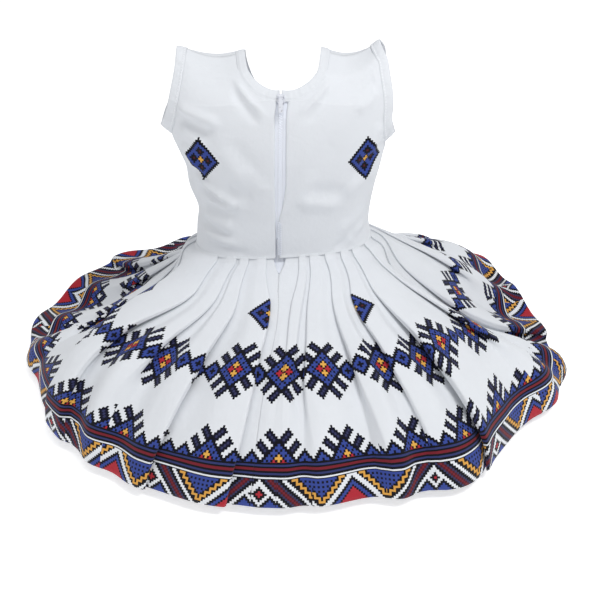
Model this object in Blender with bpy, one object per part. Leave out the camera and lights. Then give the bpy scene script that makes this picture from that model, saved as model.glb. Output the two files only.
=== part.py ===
"""A toddler's sleeveless summer dress, filled out as it is worn.

The zip side faces -Y and the wearer's front faces +Y. The origin is between the
shoulders, where the wearer holds the dress up. Tables are in millimetres and
degrees: heights run up from the waist seam, and an azimuth of 0 is the centre
back, growing towards +X.
"""
import math

import bmesh
import bpy
import numpy as np
from mathutils import Matrix

MM = 0.001

# Driving sizes, in millimetres
SHOULDER_HEIGHT = 217.0
WAIST_ABOVE_HEM = 132.0
CLOTH = 1.1
BAND_CLOTH = 1.3
TAPE_CLOTH = 0.8
SEAM_GAP = 0.3
SKIRT_DROP = 0.35
WAIST_ROUNDNESS = 2.3
TORSO_ROUNDNESS = 2.3
SHOULDER_START = 168.0

# Torso sections: height, half width left, half width right, depth back, depth front
TORSO_COLUMNS = ("height", "left", "right", "back", "front")
TORSO = (
    (-12, 100.0, 97.5, 67.5, 66.5),
    (0, 99.5, 97.0, 67.0, 66.0),
    (20, 98.0, 94.5, 65.5, 66.5),
    (44, 95.5, 96.0, 64.5, 68.0),
    (70, 104.0, 100.0, 66.0, 70.5),
    (92, 106.5, 105.0, 68.0, 72.0),
    (110, 113.0, 108.5, 69.5, 72.5),
    (118, 116.5, 110.0, 70.0, 72.5),
    (127, 119.5, 112.5, 70.0, 72.0),
    (140, 123.0, 116.0, 69.5, 71.0),
    (155, 125.5, 119.0, 68.0, 68.5),
    (172, 126.0, 120.5, 65.5, 65.0),
    (190, 122.0, 117.5, 62.0, 61.0),
    (205, 117.0, 113.0, 60.0, 58.0),
    (230, 112.0, 109.0, 58.0, 56.0),
)

# Top line of the shoulders: distance from the middle, height left, height right
SHOULDER_COLUMNS = ("out", "left", "right")
SHOULDER = (
    (0, 214.5, 217.5),
    (38, 213.0, 216.5),
    (50, 210.5, 212.5),
    (65, 208.0, 209.5),
    (80, 209.5, 213.0),
    (90, 212.5, 218.5),
    (100, 216.5, 226.0),
    (112, 220.0, 230.0),
)

# Armhole, from the shoulder tip to the underarm: where the band is sewn on, and
# where its free edge is
ARMHOLE_COLUMNS = ("seam_out", "seam_height", "edge_out", "edge_height")
ARMHOLE_LEFT = (
    (99.5, 216.3, 110.0, 219.0),
    (100.5, 206.0, 110.5, 207.0),
    (103.0, 193.0, 113.0, 193.5),
    (106.0, 178.0, 116.5, 179.0),
    (109.5, 162.0, 120.5, 163.5),
    (113.5, 146.0, 126.0, 150.0),
    (117.5, 134.0, 129.5, 142.5),
    (119.5, 127.0, 131.0, 137.5),
)
ARMHOLE_RIGHT = (
    (90.5, 218.8, 99.5, 226.0),
    (97.5, 208.5, 107.5, 212.0),
    (99.5, 196.0, 110.0, 198.0),
    (102.5, 181.0, 113.0, 183.0),
    (103.8, 166.0, 114.0, 168.0),
    (103.5, 150.0, 113.5, 153.5),
    (105.5, 132.0, 116.0, 139.5),
    (110.0, 118.0, 120.0, 127.5),
)
ARMHOLE_EDGE_DEPTH = 0.88

# Neckline: distance out and height of the band's seam and of its free edge
NECK_COLUMNS = ("seam_out", "seam_height", "edge_out", "edge_height")
NECK_BACK = (
    (0.0, 181.0, 0.0, 190.5),
    (8.0, 181.3, 7.0, 190.8),
    (18.0, 183.3, 14.5, 192.2),
    (28.0, 187.6, 22.5, 195.6),
    (37.0, 193.8, 29.5, 200.0),
    (44.0, 201.5, 35.0, 205.5),
    (49.0, 210.8, 39.5, 213.5),
)
NECK_FRONT = (
    (0.0, 131.0, 0.0, 141.0),
    (13.0, 133.0, 11.0, 142.8),
    (27.0, 140.0, 21.5, 148.5),
    (39.0, 152.5, 31.0, 158.5),
    (47.0, 171.0, 37.5, 174.0),
    (50.0, 190.0, 40.5, 191.0),
    (50.0, 203.0, 40.5, 204.5),
    (49.0, 210.8, 39.5, 213.5),
)

# Hem seen from above: azimuth and distance from the middle
HEM_COLUMNS = ("azimuth", "radius")
HEM = (
    (-180, 280), (-154, 279), (-143, 291), (-128, 302), (-112, 301), (-100, 303),
    (-90, 308), (-79, 299), (-59, 302), (-44, 308), (-24, 312), (-5, 311), (15, 310),
    (27, 321), (36.5, 331), (41.5, 318), (49, 313), (61, 321), (72, 331), (83, 318),
    (96, 311), (109, 314), (122, 324), (133, 318), (145, 303), (160, 284),
)

# How far the skirt bells out: 1 is a full bell, 0 a straight cone, below 0 a flare
FULLNESS_COLUMNS = ("azimuth", "fullness")
FULLNESS = (
    (-180, -0.3), (-150, -0.45), (-128, -0.6), (-110, -0.6), (-98, -0.4), (-86, 0.2),
    (-70, 0.95), (-30, 1.0), (30, 1.0), (52, 0.95), (68, 0.8), (82, 0.1), (95, -0.5),
    (112, -0.5), (128, -0.05), (145, 0.05), (165, -0.15),
)

# Skirt profiles: share of the way out, share of the height, for bell and cone, and
# how much sooner round the dress the bell ends at that height
PROFILE_COLUMNS = ("bell_out", "bell_height", "cone_out", "cone_height", "sooner")
PROFILE = (
    (0.0, 1.0, 0.0, 1.0, 1.0),
    (0.004, 0.968, 0.004, 0.965, 1.05),
    (0.05, 0.94, 0.06, 0.92, 1.15),
    (0.307, 0.885, 0.2, 0.775, 1.25),
    (0.545, 0.79, 0.4, 0.58, 1.25),
    (0.766, 0.625, 0.6, 0.385, 1.2),
    (0.865, 0.5, 0.75, 0.245, 1.13),
    (0.951, 0.32, 0.87, 0.125, 1.06),
    (0.985, 0.17, 0.95, 0.045, 1.0),
    (1.0, 0.0, 1.0, 0.0, 1.0),
)

# Pleats: azimuths down the skirt, which side lies on top (1 is the left), the
# width that is tucked away, and how far the cloth rises and dips further down
PLEAT_SHARES = (0.0, 0.25, 0.55, 0.8, 1.0)
PLEAT_COLUMNS = ("waist", "upper", "middle", "hem", "top",
                 "tuck_waist", "tuck_upper", "tuck_middle",
                 "rise_middle", "rise_low", "rise_hem")
PLEATS = (
    (-176, -177, -178, -177, 1, 9, 16, 10, 4.5, 6.5, 5.0),
    (-162, -162, -162, -163, 1, 8, 15, 11, 4.5, 7.0, 4.5),
    (-148, -146, -145, -146, 1, 9, 17, 10, 5.0, 7.5, 5.5),
    (-134, -129, -127, -128, 1, 8, 15, 12, 4.5, 6.5, 5.0),
    (-120, -112, -109, -110, 1, 9, 16, 10, 5.0, 7.0, 5.5),
    (-106, -94, -90, -92, 1, 8, 15, 11, 4.5, 6.0, 4.5),
    (-95, -78, -71, -74, 1, 7, 14, 10, 4.5, 6.5, 5.0),
    (-84, -62, -53, -57, -1, 8, 17, 10, 6.0, 7.0, 5.0),
    (-58, -42, -46, -47, 1, 9, 20, 13, 6.0, 8.0, 5.0),
    (-42, -30, -33, -36, 1, 5, 9, 8, 5.0, 8.0, 5.0),
    (-33, -21.5, -21, -25.5, 1, 6, 16, 12, 6.0, 5.0, 7.0),
    (-17.5, -7.5, -7, -10, 1, 4, 13, 11, 4.0, 4.0, 6.5),
    (15.5, 5, 0.5, -1, -1, 4, 8, 3, 1.5, 1.0, 0.5),
    (25, 12, 6, 5.5, -1, 5, 12, 9, 3.0, 3.5, 2.0),
    (38, 22, 18, 19, -1, 7, 8, 9, 5.0, 7.5, 4.5),
    (50, 31, 27, 28, -1, 6, 14, 12, 4.0, 3.5, 2.5),
    (59, 42, 37.5, 39, -1, 6, 18, 14, 7.0, 7.0, 3.0),
    (72, 57.5, 57, 60, -1, 8, 14, 11, 5.0, 5.5, 4.0),
    (87, 74, 73, 74, -1, 8, 15, 11, 4.5, 6.5, 4.5),
    (103, 92, 89, 89, -1, 9, 16, 10, 5.0, 7.0, 5.0),
    (118, 110, 106, 105, -1, 8, 15, 12, 4.5, 6.5, 5.5),
    (133, 127, 124, 121, -1, 9, 16, 10, 5.0, 7.5, 5.0),
    (149, 146, 142, 138, -1, 8, 15, 11, 4.5, 6.5, 4.5),
    (166, 164, 161, 159, -1, 9, 16, 10, 5.0, 7.0, 5.0),
)
LEAST_RISE = 1.9
UPPER_RISE = 2.2

# One pleat across: its spread, its share of the tuck, its level when folded and
# its level when it has opened into a wave
ACROSS_COLUMNS = ("spread", "tuck", "folded", "open")
ACROSS = (
    (-1.0, -1.0, 1.0, 1.0),
    (-0.62, 0.82, 1.0, 0.83),
    (-0.45, 1.0, 0.5, 0.65),
    (-0.28, 0.82, 0.0, 0.43),
    (0.28, -0.82, 0.0, -0.43),
    (0.45, -1.0, -0.5, -0.65),
    (0.62, -0.82, -1.0, -0.83),
    (1.0, 1.0, -1.0, -1.0),
)
PANEL_STEPS = (0.34, 0.67)
PLEAT_SPREAD = (1.0, 3.0, 7.0, 16.0, 22.0)
PLEAT_OPENNESS = (0.0, 0.0, 0.35, 1.0, 1.0)
GAP_SHARE = 0.44
SPREAD_SHARE = 0.6
SLOPE_REACH = 0.012
CORNER_LIMIT = 0.72
PROFILE_STEPS = 81
PROFILE_FINE = 321

# Seams down the skirt: azimuths at the place shares, kept between the pleats
PLACE_SHARES = (0.0, 0.25, 0.55, 1.0)
SEAMS = {
    "back": (-3.6, -2.6, -3.8, -5.5),
    "right": (94, 83, 80.5, 81),
    "left": (-100.5, -86, -80.5, -83),
}
SEAM_ROOM = 0.3

RING_SHARES = (0.0, 0.03, 0.085, 0.17, 0.28, 0.4, 0.53, 0.66, 0.78, 0.88, 0.95, 1.0)

# Rows of the bodice: heights below the underarm, then picks along the tables
LOWER_HEIGHTS = (0.0, 20.0, 44.0, 70.0, 92.0, 109.0)
ARMHOLE_PICKS = np.array((0, 0.5, 1, 1.7, 2.5, 3.3, 4.1, 4.9, 5.7, 6.4, 7))
NECK_BACK_PICKS = np.array((1, 1.8, 2.7, 3.6, 4.4, 5.2, 6))
NECK_FRONT_PICKS = np.array((0, 0.8, 1.5, 2.2, 2.9, 3.6, 4.4, 5.2, 5.9, 6.5, 7))
BODICE_STEPS = 10
ROW_PASSES = 6
WAIST_HALF = 100.0
WAIST_FADE = 60.0
BAND_GAP = 0.6
NECK_OPENING = 4.4
SAME_POINT_DIGITS = 4
SMOOTH_ANGLE = 50.0

# The zip: where it runs, and its pieces
ZIP_COLUMNS = ("height", "across")
ZIP_LINE = ((-30, -4.6), (0, -4.4), (60, -3.8), (120, -2.6), (185, -1.6), (220, -1.6))
ZIP_HEIGHTS = (188.0, 178.0, 165.0, 150.0, 134.0, 118.0, 92.0, 70.0, 44.0, 24.0, 12.0, 3.0)
ZIP_SINK = 12.0
ZIP_TAIL_SHARES = (0.02, 0.045, 0.07, 0.095)
ZIP_OPENING = 7.5
ZIP_TAIL_SHARE = 0.085
ZIP_TOP = 188.0
CHAIN_FIRST = 1
CHAIN_HALF = 2.3
CHAIN_DEPTH = 1.9
CHAIN_THICK = 1.6
TAPE_OUT = 11.0
TAPE_DEPTH = 1.7
SLIDER_HEIGHT = 183.8
SLIDER_LENGTH = 9.0
SLIDER_HALF = 3.9
SLIDER_SOFT = 0.6
SLIDER_LEVELS = (-0.75, 1.3)
PIN_UP = 1.5
PIN_OUT = 3.15
PIN_RADIUS = 0.5
LUG_REACH = 1.0
LUG_THICK = 0.9
PIN_SIDES = 12
LOOP_SIDES = 18
LOOP_INNER = 0.85
LOOP_OUTER = 1.5
TAB_LENGTH = 17.0
TAB_HALF = 2.2

MATERIALS = {
    "white_cotton": ((0.86, 0.87, 0.9), 0.85, 0.0),
    "printed_cotton": ((0.62, 0.64, 0.74), 0.85, 0.0),
    "white_band": ((0.84, 0.85, 0.89), 0.85, 0.0),
    "zip_tape": ((0.82, 0.84, 0.88), 0.8, 0.0),
    "zip_plastic": ((0.88, 0.9, 0.93), 0.4, 0.0),
    "white_metal": ((0.84, 0.86, 0.9), 0.35, 0.1),
}


def clear_scene():
    """Remove what the scene holds."""
    for old in list(bpy.data.objects):
        bpy.data.objects.remove(old, do_unlink=True)


def make_materials():
    """Make one plain material for each finish."""
    made = {}
    for name, (colour, roughness, metallic) in MATERIALS.items():
        material = bpy.data.materials.new(name)
        material.use_nodes = True
        shader = material.node_tree.nodes["Principled BSDF"]
        shader.inputs["Base Color"].default_value = (*colour, 1.0)
        shader.inputs["Roughness"].default_value = roughness
        shader.inputs["Metallic"].default_value = metallic
        made[name] = material
    return made


def columns(table, names, wanted):
    """Pick named columns of a table as arrays."""
    rows = np.array(table, dtype=float)
    return [rows[:, names.index(name)] for name in wanted]


def smooth(xs, ys, at, period=None):
    """Read a table with a smooth curve through its rows."""
    xs = np.asarray(xs, dtype=float)
    ys = np.asarray(ys, dtype=float)
    at = np.asarray(at, dtype=float)
    if period:
        xs = np.concatenate([xs[-2:] - period, xs, xs[:2] + period])
        ys = np.concatenate([ys[-2:], ys, ys[:2]])
        at = (at - xs[2]) % period + xs[2]
    at = np.clip(at, xs[0], xs[-1])
    slopes = np.gradient(ys, xs)
    i = np.clip(np.searchsorted(xs, at, side="right") - 1, 0, len(xs) - 2)
    step = xs[i + 1] - xs[i]
    t = (at - xs[i]) / step
    a = (1 + 2 * t) * (1 - t) ** 2 * ys[i] + t * (1 - t) ** 2 * step * slopes[i]
    b = t * t * (3 - 2 * t) * ys[i + 1] + t * t * (t - 1) * step * slopes[i + 1]
    return a + b


def waist_height(azimuth):
    """Height of the waist seam, which dips and rises a little round the dress."""
    angle = np.radians(azimuth)
    return 1.0 + 8.0 * np.cos(angle) + 5.0 * np.sin(angle)


def waist_radius(azimuth):
    """Distance of the waist seam from the middle."""
    angle = np.radians(azimuth)
    left, right, back, front = waist_sizes()
    across = np.where(np.sin(angle) < 0, left, right)
    deep = np.where(np.cos(angle) > 0, back, front)
    n = WAIST_ROUNDNESS
    x_part = np.abs(np.sin(angle) / across) ** n
    y_part = np.abs(np.cos(angle) / deep) ** n
    return (x_part + y_part) ** (-1.0 / n)


def waist_sizes():
    """Half widths and depths of the torso at the waist."""
    return torso_sizes(np.array(0.0))


def torso_sizes(height):
    """Half widths and depths of the torso at a height."""
    heights, left, right, back, front = columns(TORSO, TORSO_COLUMNS, TORSO_COLUMNS)
    return [smooth(heights, values, height) for values in (left, right, back, front)]


def shoulder_top(x):
    """Height of the shoulder line over a place across."""
    out, left, right = columns(SHOULDER, SHOULDER_COLUMNS, SHOULDER_COLUMNS)
    return np.where(x < 0, smooth(out, left, np.abs(x)), smooth(out, right, np.abs(x)))


def build_profiles():
    """Work out the plain skirt without pleats, for every degree round it."""
    azimuths = np.arange(-180, 181, 1.0)
    shares = np.linspace(0, 1, PROFILE_STEPS)
    bell_out, bell_height, cone_out, cone_height, sooner = columns(
        PROFILE, PROFILE_COLUMNS, PROFILE_COLUMNS)
    hem_at, hem_radius = columns(HEM, HEM_COLUMNS, HEM_COLUMNS)
    full_at, fullness = columns(FULLNESS, FULLNESS_COLUMNS, FULLNESS_COLUMNS)
    knots = np.linspace(0, 1, len(PROFILE))
    fine = np.linspace(0, 1, PROFILE_FINE)
    radius = np.zeros((len(azimuths), len(shares)))
    height = np.zeros_like(radius)
    length = np.zeros(len(azimuths))
    for row, azimuth in enumerate(azimuths):
        turned = np.clip(azimuth * sooner, -180, 180)
        bell = smooth(full_at, fullness, turned, 360)
        out = cone_out + (bell_out - cone_out) * bell
        up = cone_height + (bell_height - cone_height) * bell
        start = float(waist_radius(azimuth))
        rim = float(smooth(hem_at, hem_radius, azimuth, 360))
        top = float(waist_height(azimuth)) + WAIST_ABOVE_HEM
        r = start + (rim - start) * smooth(knots, out, fine)
        z = top * smooth(knots, up, fine) - WAIST_ABOVE_HEM
        run = np.concatenate([[0], np.cumsum(np.hypot(np.diff(r), np.diff(z)))])
        radius[row] = np.interp(shares * run[-1], run, r)
        height[row] = np.interp(shares * run[-1], run, z)
        length[row] = run[-1]
    return azimuths, shares, radius, height, length


PROFILES = build_profiles()


def plain_skirt(azimuth, share):
    """Radius and height of the skirt without pleats."""
    azimuths, shares, radius, height, _ = PROFILES
    a = (np.asarray(azimuth, dtype=float) + 180.0) % 360.0
    i = np.clip(a.astype(int), 0, 359)
    t = a - i
    s = np.clip(np.asarray(share, dtype=float), 0, 1) * (len(shares) - 1)
    j = np.clip(s.astype(int), 0, len(shares) - 2)
    u = s - j

    def read(grid):
        low = grid[i, j] * (1 - t) + grid[i + 1, j] * t
        high = grid[i, j + 1] * (1 - t) + grid[i + 1, j + 1] * t
        return low * (1 - u) + high * u

    return read(radius), read(height)


def skirt_point(azimuth, share, level):
    """A point on the skirt, raised off the plain skirt by a level."""
    azimuth = np.asarray(azimuth, dtype=float)
    radius, height = plain_skirt(azimuth, share)
    r0, z0 = plain_skirt(azimuth, share - SLOPE_REACH)
    r1, z1 = plain_skirt(azimuth, share + SLOPE_REACH)
    run_r, run_z = r1 - r0, z1 - z0
    size = np.hypot(run_r, run_z)
    out, up = -run_z / size, run_r / size
    angle = np.radians(azimuth)
    r = radius + level * out
    z = height + level * up
    return np.stack([r * np.sin(angle), -r * np.cos(angle), z], axis=-1)


def pleats_at(share):
    """Place, tuck, spread and rise of every pleat on one ring."""
    names = ("waist", "upper", "middle", "hem", "top", "tuck_waist", "tuck_upper",
             "tuck_middle", "rise_middle", "rise_low", "rise_hem")
    (waist, upper, middle, hem, top, tuck_waist, tuck_upper, tuck_middle,
     rise_middle, rise_low, rise_hem) = columns(PLEATS, PLEAT_COLUMNS, names)
    count = len(waist)
    centre = np.array([smooth(PLACE_SHARES, row, share)
                       for row in zip(waist, upper, middle, hem)])
    none = np.zeros(count)
    tuck = np.array([np.interp(share, PLEAT_SHARES, row) for row in
                     zip(tuck_waist, tuck_upper, tuck_middle, none, none)]) / 2
    rise = np.array([smooth(PLEAT_SHARES, row, share) for row in
                     zip(none + LEAST_RISE, none + UPPER_RISE,
                         rise_middle, rise_low, rise_hem)])
    openness = float(np.interp(share, PLEAT_SHARES, PLEAT_OPENNESS))
    spread = none + np.interp(share, PLEAT_SHARES, PLEAT_SPREAD)
    radius, _ = plain_skirt(centre, share)
    per_degree = radius * math.radians(1)
    after = (np.roll(centre, -1) - centre) % 360 * per_degree
    before = (centre - np.roll(centre, 1)) % 360 * per_degree
    room = np.minimum(after, before) * GAP_SHARE
    spread = np.minimum(spread, room * SPREAD_SHARE)
    tuck = np.minimum(tuck, room - spread)
    return centre, top, np.maximum(tuck, 0), spread, rise, per_degree, openness


def ring_section(share):
    """Azimuths and levels of the pleated cloth round one ring, from pleat to pleat."""
    centre, top, tuck, spread, rise, per_degree, openness = pleats_at(share)
    spread_at, tuck_at, folded, opened = columns(ACROSS, ACROSS_COLUMNS, ACROSS_COLUMNS)
    azimuths, levels = [], []
    count = len(centre)
    for k in range(count):
        level = folded * (1 - openness) + opened * openness
        along = tuck_at * tuck[k] + spread_at * spread[k]
        if top[k] > 0:
            place, height = along, level * rise[k]
        else:
            place, height = -along[::-1], level[::-1] * rise[k]
        azimuths.append(centre[k] + place / per_degree[k])
        levels.append(height)
    ring_az, ring_level = [], []
    for k in range(count):
        follow = (k + 1) % count
        ring_az.extend(azimuths[k])
        ring_level.extend(levels[k])
        start, end = azimuths[k][-1], azimuths[follow][0]
        if follow == 0:
            end += 360
        for step in PANEL_STEPS:
            eased = step * step * (3 - 2 * step)
            ring_az.append(start + (end - start) * step)
            low, high = levels[k][-1], levels[follow][0]
            ring_level.append(low + (high - low) * eased)
    return np.array(ring_az), np.array(ring_level)


def skirt_cut(share, seam):
    """Azimuth of a seam down the skirt, kept between the pleats beside it."""
    wanted = float(smooth(PLACE_SHARES, SEAMS[seam], share))
    azimuth, _ = ring_section(share)
    last = cut_indices(seam)
    low = azimuth[last - 1]
    high = azimuth[(last + len(PANEL_STEPS)) % len(azimuth)]
    low += 360.0 * round((wanted - low) / 360.0)
    high += 360.0 * round((wanted - high) / 360.0)
    room = (high - low) * SEAM_ROOM
    return min(max(wanted, low + room), high - room)


def zip_slot(share):
    """Half width of the opening that the end of the zip shows in."""
    closed = SEAM_GAP / 2
    return float(np.interp(share, (0, ZIP_TAIL_SHARE, 1), (ZIP_OPENING, closed, closed)))


def skirt_strip(start, end, start_gap, end_gap):
    """Grid of points for the stretch of skirt between two seams."""
    grid = []
    for share in RING_SHARES:
        azimuth, level = ring_section(share)
        low = skirt_cut(share, start)
        high = skirt_cut(share, end)
        if high < low:
            high += 360
        turned = np.concatenate([azimuth, azimuth + 360, azimuth + 720])
        levels = np.tile(level, 3)
        first, last = cut_indices(start), cut_indices(end)
        while turned[first] < low - 180:
            first += len(azimuth)
        while last <= first:
            last += len(azimuth)
        radius, _ = plain_skirt(low, share)
        low += start_gap(share) / (float(radius) * math.radians(1))
        radius, _ = plain_skirt(high, share)
        high -= end_gap(share) / (float(radius) * math.radians(1))
        inside = np.arange(first + 1, last + 1)
        ring_az = turned[inside].copy()
        ring_az -= 360.0 * round((ring_az[0] - low) / 360.0)
        ring_level = levels[inside].copy()
        start_level = (levels[first] + levels[first + 1]) / 2
        end_level = (levels[last] + levels[last + 1]) / 2
        ring_az[0] = (low + ring_az[1]) / 2
        ring_az[-1] = (high + ring_az[-2]) / 2
        ring_level[0] = (start_level + ring_level[1]) / 2
        ring_level[-1] = (end_level + ring_level[-2]) / 2
        ring_az = np.concatenate([[low], ring_az, [high]])
        ring_level = np.concatenate([[start_level], ring_level, [end_level]])
        grid.append(skirt_point(ring_az, share, ring_level))
    return np.array(grid)


def cut_indices(seam):
    """Index of the last point before a seam, which runs in the middle of a panel."""
    waist, = columns(PLEATS, PLEAT_COLUMNS, ("waist",))
    pleat = int(np.nonzero(waist < SEAMS[seam][0])[0][-1])
    per_pleat = len(ACROSS) + len(PANEL_STEPS)
    return pleat * per_pleat + len(ACROSS)


def offset_walls(grid, thickness):
    """Outer and inner points of a wall, half its thickness to either side."""
    grid = np.array(grid)
    rows = np.gradient(grid, axis=0)
    rows /= np.linalg.norm(rows, axis=-1, keepdims=True)
    runs = np.diff(grid, axis=1)
    before = np.concatenate([runs[:, :1], runs], axis=1)
    after = np.concatenate([runs, runs[:, -1:]], axis=1)
    side_a = np.cross(before, rows)
    side_b = np.cross(after, rows)
    side_a /= np.linalg.norm(side_a, axis=-1, keepdims=True)
    side_b /= np.linalg.norm(side_b, axis=-1, keepdims=True)
    middle = side_a + side_b
    size = np.linalg.norm(middle, axis=-1, keepdims=True)
    middle /= np.maximum(size, 1e-9)
    half_turn = np.clip(size / 2, CORNER_LIMIT, 1.0)
    push = middle * (thickness / 2) / half_turn
    return grid + push, grid - push


def add_solid(name, points, faces, material):
    """Make one named object from points in millimetres above the waist."""
    mesh = bpy.data.meshes.new(name)
    placed = [(x * MM, y * MM, (z - SHOULDER_HEIGHT) * MM) for x, y, z in points]
    mesh.from_pydata(placed, [], faces)
    mesh.materials.append(material)
    work = bmesh.new()
    work.from_mesh(mesh)
    bmesh.ops.recalc_face_normals(work, faces=work.faces)
    work.to_mesh(mesh)
    work.free()
    mesh.shade_smooth()
    mesh.set_sharp_from_angle(angle=math.radians(SMOOTH_ANGLE))
    made = bpy.data.objects.new(name, mesh)
    bpy.context.scene.collection.objects.link(made)
    return made


def wall_solid(name, patches, material, closed=False):
    """Close the space between the two sides of a wall, made of one or more patches.

    Each patch is a pair of grids, one for either side. Patches share the points that
    they have in common.
    """
    seen, near, far, cells = {}, [], [], []
    for outer, inner in patches:
        rows, cols = outer.shape[:2]
        index = np.zeros((rows, cols), dtype=int)
        for r in range(rows):
            for c in range(cols):
                both = np.concatenate([outer[r, c], inner[r, c]])
                key = tuple(np.round(both, SAME_POINT_DIGITS))
                if key not in seen:
                    seen[key] = len(near)
                    near.append(outer[r, c])
                    far.append(inner[r, c])
                index[r, c] = seen[key]
        for r in range(rows - 1):
            for c in range(cols if closed else cols - 1):
                d = (c + 1) % cols
                cells.append((index[r, c], index[r + 1, c], index[r + 1, d], index[r, d]))
    count = len(near)
    uses = {}
    for cell in cells:
        for a, b in zip(cell, cell[1:] + cell[:1]):
            uses.setdefault(frozenset((a, b)), []).append((a, b))
    faces = list(cells)
    faces.extend(tuple(count + k for k in reversed(cell)) for cell in cells)
    for found in uses.values():
        if len(found) == 1:
            a, b = found[0]
            faces.append((b, a, count + a, count + b))
    return add_solid(name, near + far, faces, material)


def build_skirt(materials):
    """Front and two back panels of the pleated skirt."""
    def seam(share):
        return SEAM_GAP / 2

    panels = (
        ("skirt_back_left", "left", "back", seam, zip_slot),
        ("skirt_back_right", "back", "right", zip_slot, seam),
        ("skirt_front", "right", "left", seam, seam),
    )
    for name, start, end, start_gap, end_gap in panels:
        grid = skirt_strip(start, end, start_gap, end_gap)
        grid[0, :, 2] -= SKIRT_DROP
        wall_solid(name, [offset_walls(grid, CLOTH)], materials["printed_cotton"])


def torso_point(x, height, front):
    """Point of the bodice over a place across, at a height, on the back or front."""
    left, right, back_depth, front_depth = torso_sizes(height)
    half = np.where(x < 0, left, right)
    deep = front_depth if front else back_depth
    share_out = np.clip(np.abs(x) / half, 0, 1)
    n = TORSO_ROUNDNESS
    round_off = (1 - share_out ** n) ** (1 / n)
    top = shoulder_top(x)
    climb = np.clip((height - SHOULDER_START) / (top - SHOULDER_START), 0, 1)
    close = np.sqrt(1 - climb * climb)
    y = np.maximum(deep * round_off * close, SEAM_GAP)
    if not front:
        y = -y
    return np.stack([x + 0 * y, y, height + 0 * y], axis=-1)


def climb_of(x, height):
    """Climb of a place: 0 to 1 up to the shoulder's start, then 1 to 2 over it."""
    top = shoulder_top(x)
    over = (height - SHOULDER_START) / (top - SHOULDER_START)
    if over <= 0:
        return height / SHOULDER_START
    return 1 + math.asin(min(1.0, over)) / (math.pi / 2)


def height_of(x, climb):
    """Height over a place across at a climb."""
    top = shoulder_top(x)
    over = SHOULDER_START + (top - SHOULDER_START) * np.sin((climb - 1) * math.pi / 2)
    return np.where(climb <= 1, climb * SHOULDER_START, over)


def bodice_row(inner, outer, side, front, steps):
    """Row of points over the torso between two places given as across and height."""
    n = TORSO_ROUNDNESS
    angles, climbs = [], []
    for out, height in (inner, outer):
        sizes = torso_sizes(np.array(height))
        half = float(sizes[0] if side < 0 else sizes[1])
        share = min(1.0, abs(out) / half)
        angle = math.asin(share ** (n / 2))
        angles.append(math.copysign(angle, out))
        climbs.append(climb_of(side * abs(out), height))
    t = np.linspace(0, 1, steps)
    angle = angles[0] + (angles[1] - angles[0]) * t
    climb = climbs[0] + (climbs[1] - climbs[0]) * t
    share = np.sign(angle) * np.abs(np.sin(angle)) ** (2 / n)
    x = side * share * WAIST_HALF
    for _ in range(ROW_PASSES):
        height = height_of(x, climb)
        sizes = torso_sizes(height)
        x = side * share * (sizes[0] if side < 0 else sizes[1])
    deep = sizes[3] if front else sizes[2]
    top = shoulder_top(x)
    over = np.clip((height - SHOULDER_START) / (top - SHOULDER_START), 0, 1)
    y = deep * np.abs(np.cos(angle)) ** (2 / n) * np.sqrt(1 - over * over)
    y = np.maximum(y, SEAM_GAP)
    return np.stack([x, y if front else -y, height], axis=-1)


def zip_across(height):
    """Where the zip's middle runs at a height."""
    heights, across = columns(ZIP_LINE, ZIP_COLUMNS, ZIP_COLUMNS)
    return float(smooth(heights, across, height))


def opening_edge(height, side):
    """Distance out, on one side, of the back's folded edge beside the zip."""
    return side * zip_across(height) + ZIP_OPENING


def read_along(table, names, wanted, picks):
    """Read named columns of a table along its rows, between them too."""
    positions = np.arange(len(table))
    return [smooth(positions, values, picks) for values in columns(table, names, wanted)]


def bodice_half(side, front):
    """Grid for one half of the bodice, from its middle to the side and armhole."""
    armhole = ARMHOLE_LEFT if side < 0 else ARMHOLE_RIGHT
    arm_out, arm_height = read_along(armhole, ARMHOLE_COLUMNS, ("seam_out", "seam_height"),
                                     ARMHOLE_PICKS[::-1])
    outer = []
    for height in LOWER_HEIGHTS:
        sizes = torso_sizes(np.array(height))
        outer.append((float(sizes[0] if side < 0 else sizes[1]), height))
    outer.extend(zip(arm_out, arm_height))
    neck = NECK_FRONT if front else NECK_BACK
    picks = NECK_FRONT_PICKS if front else NECK_BACK_PICKS
    neck_out, neck_height = read_along(neck, NECK_COLUMNS, ("seam_out", "seam_height"), picks)
    heights = list(LOWER_HEIGHTS)
    plain = len(arm_out) - len(picks)
    heights += list(np.linspace(arm_height[0], float(neck_height[0]), plain + 1)[:-1])
    inner = [(0.0 if front else opening_edge(height, side), height) for height in heights]
    inner.extend(zip(neck_out, neck_height))
    rows = [bodice_row(i, o, side, front, BODICE_STEPS) for i, o in zip(inner, outer)]
    grid = np.array(rows)
    grid[-1, :, 2] = shoulder_top(grid[-1, :, 0])
    grid[-1, :, 1] = SEAM_GAP if front else -SEAM_GAP
    azimuth = np.degrees(np.arctan2(grid[0, :, 0], -grid[0, :, 1]))
    edge = waist_height(azimuth) + SEAM_GAP / 2
    fade = np.clip(1 - grid[:, :1, 2] / WAIST_FADE, 0, 1)
    grid[:, :, 2] += edge[None, :] * fade
    return grid


def build_bodice(materials, halves):
    """Front and two backs of the bodice."""
    cotton = materials["white_cotton"]
    for name, side in (("bodice_back_left", -1), ("bodice_back_right", 1)):
        wall_solid(name, [offset_walls(halves[side, False], CLOTH)], cotton)
    right, left = halves[1, True][:, ::-1], halves[-1, True]
    neck = len(LOWER_HEIGHTS) + 1
    middle = BODICE_STEPS - 1
    joined = offset_walls(np.concatenate([right, left[:, 1:]], axis=1), CLOTH)
    patches = [offset_walls(right, CLOTH), offset_walls(left, CLOTH)]
    for part, whole in enumerate(joined):
        patches[0][part][:neck] = whole[:neck, :middle + 1]
        patches[1][part][:neck] = whole[:neck, middle:]
    wall_solid("bodice_front", patches, cotton)


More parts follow.
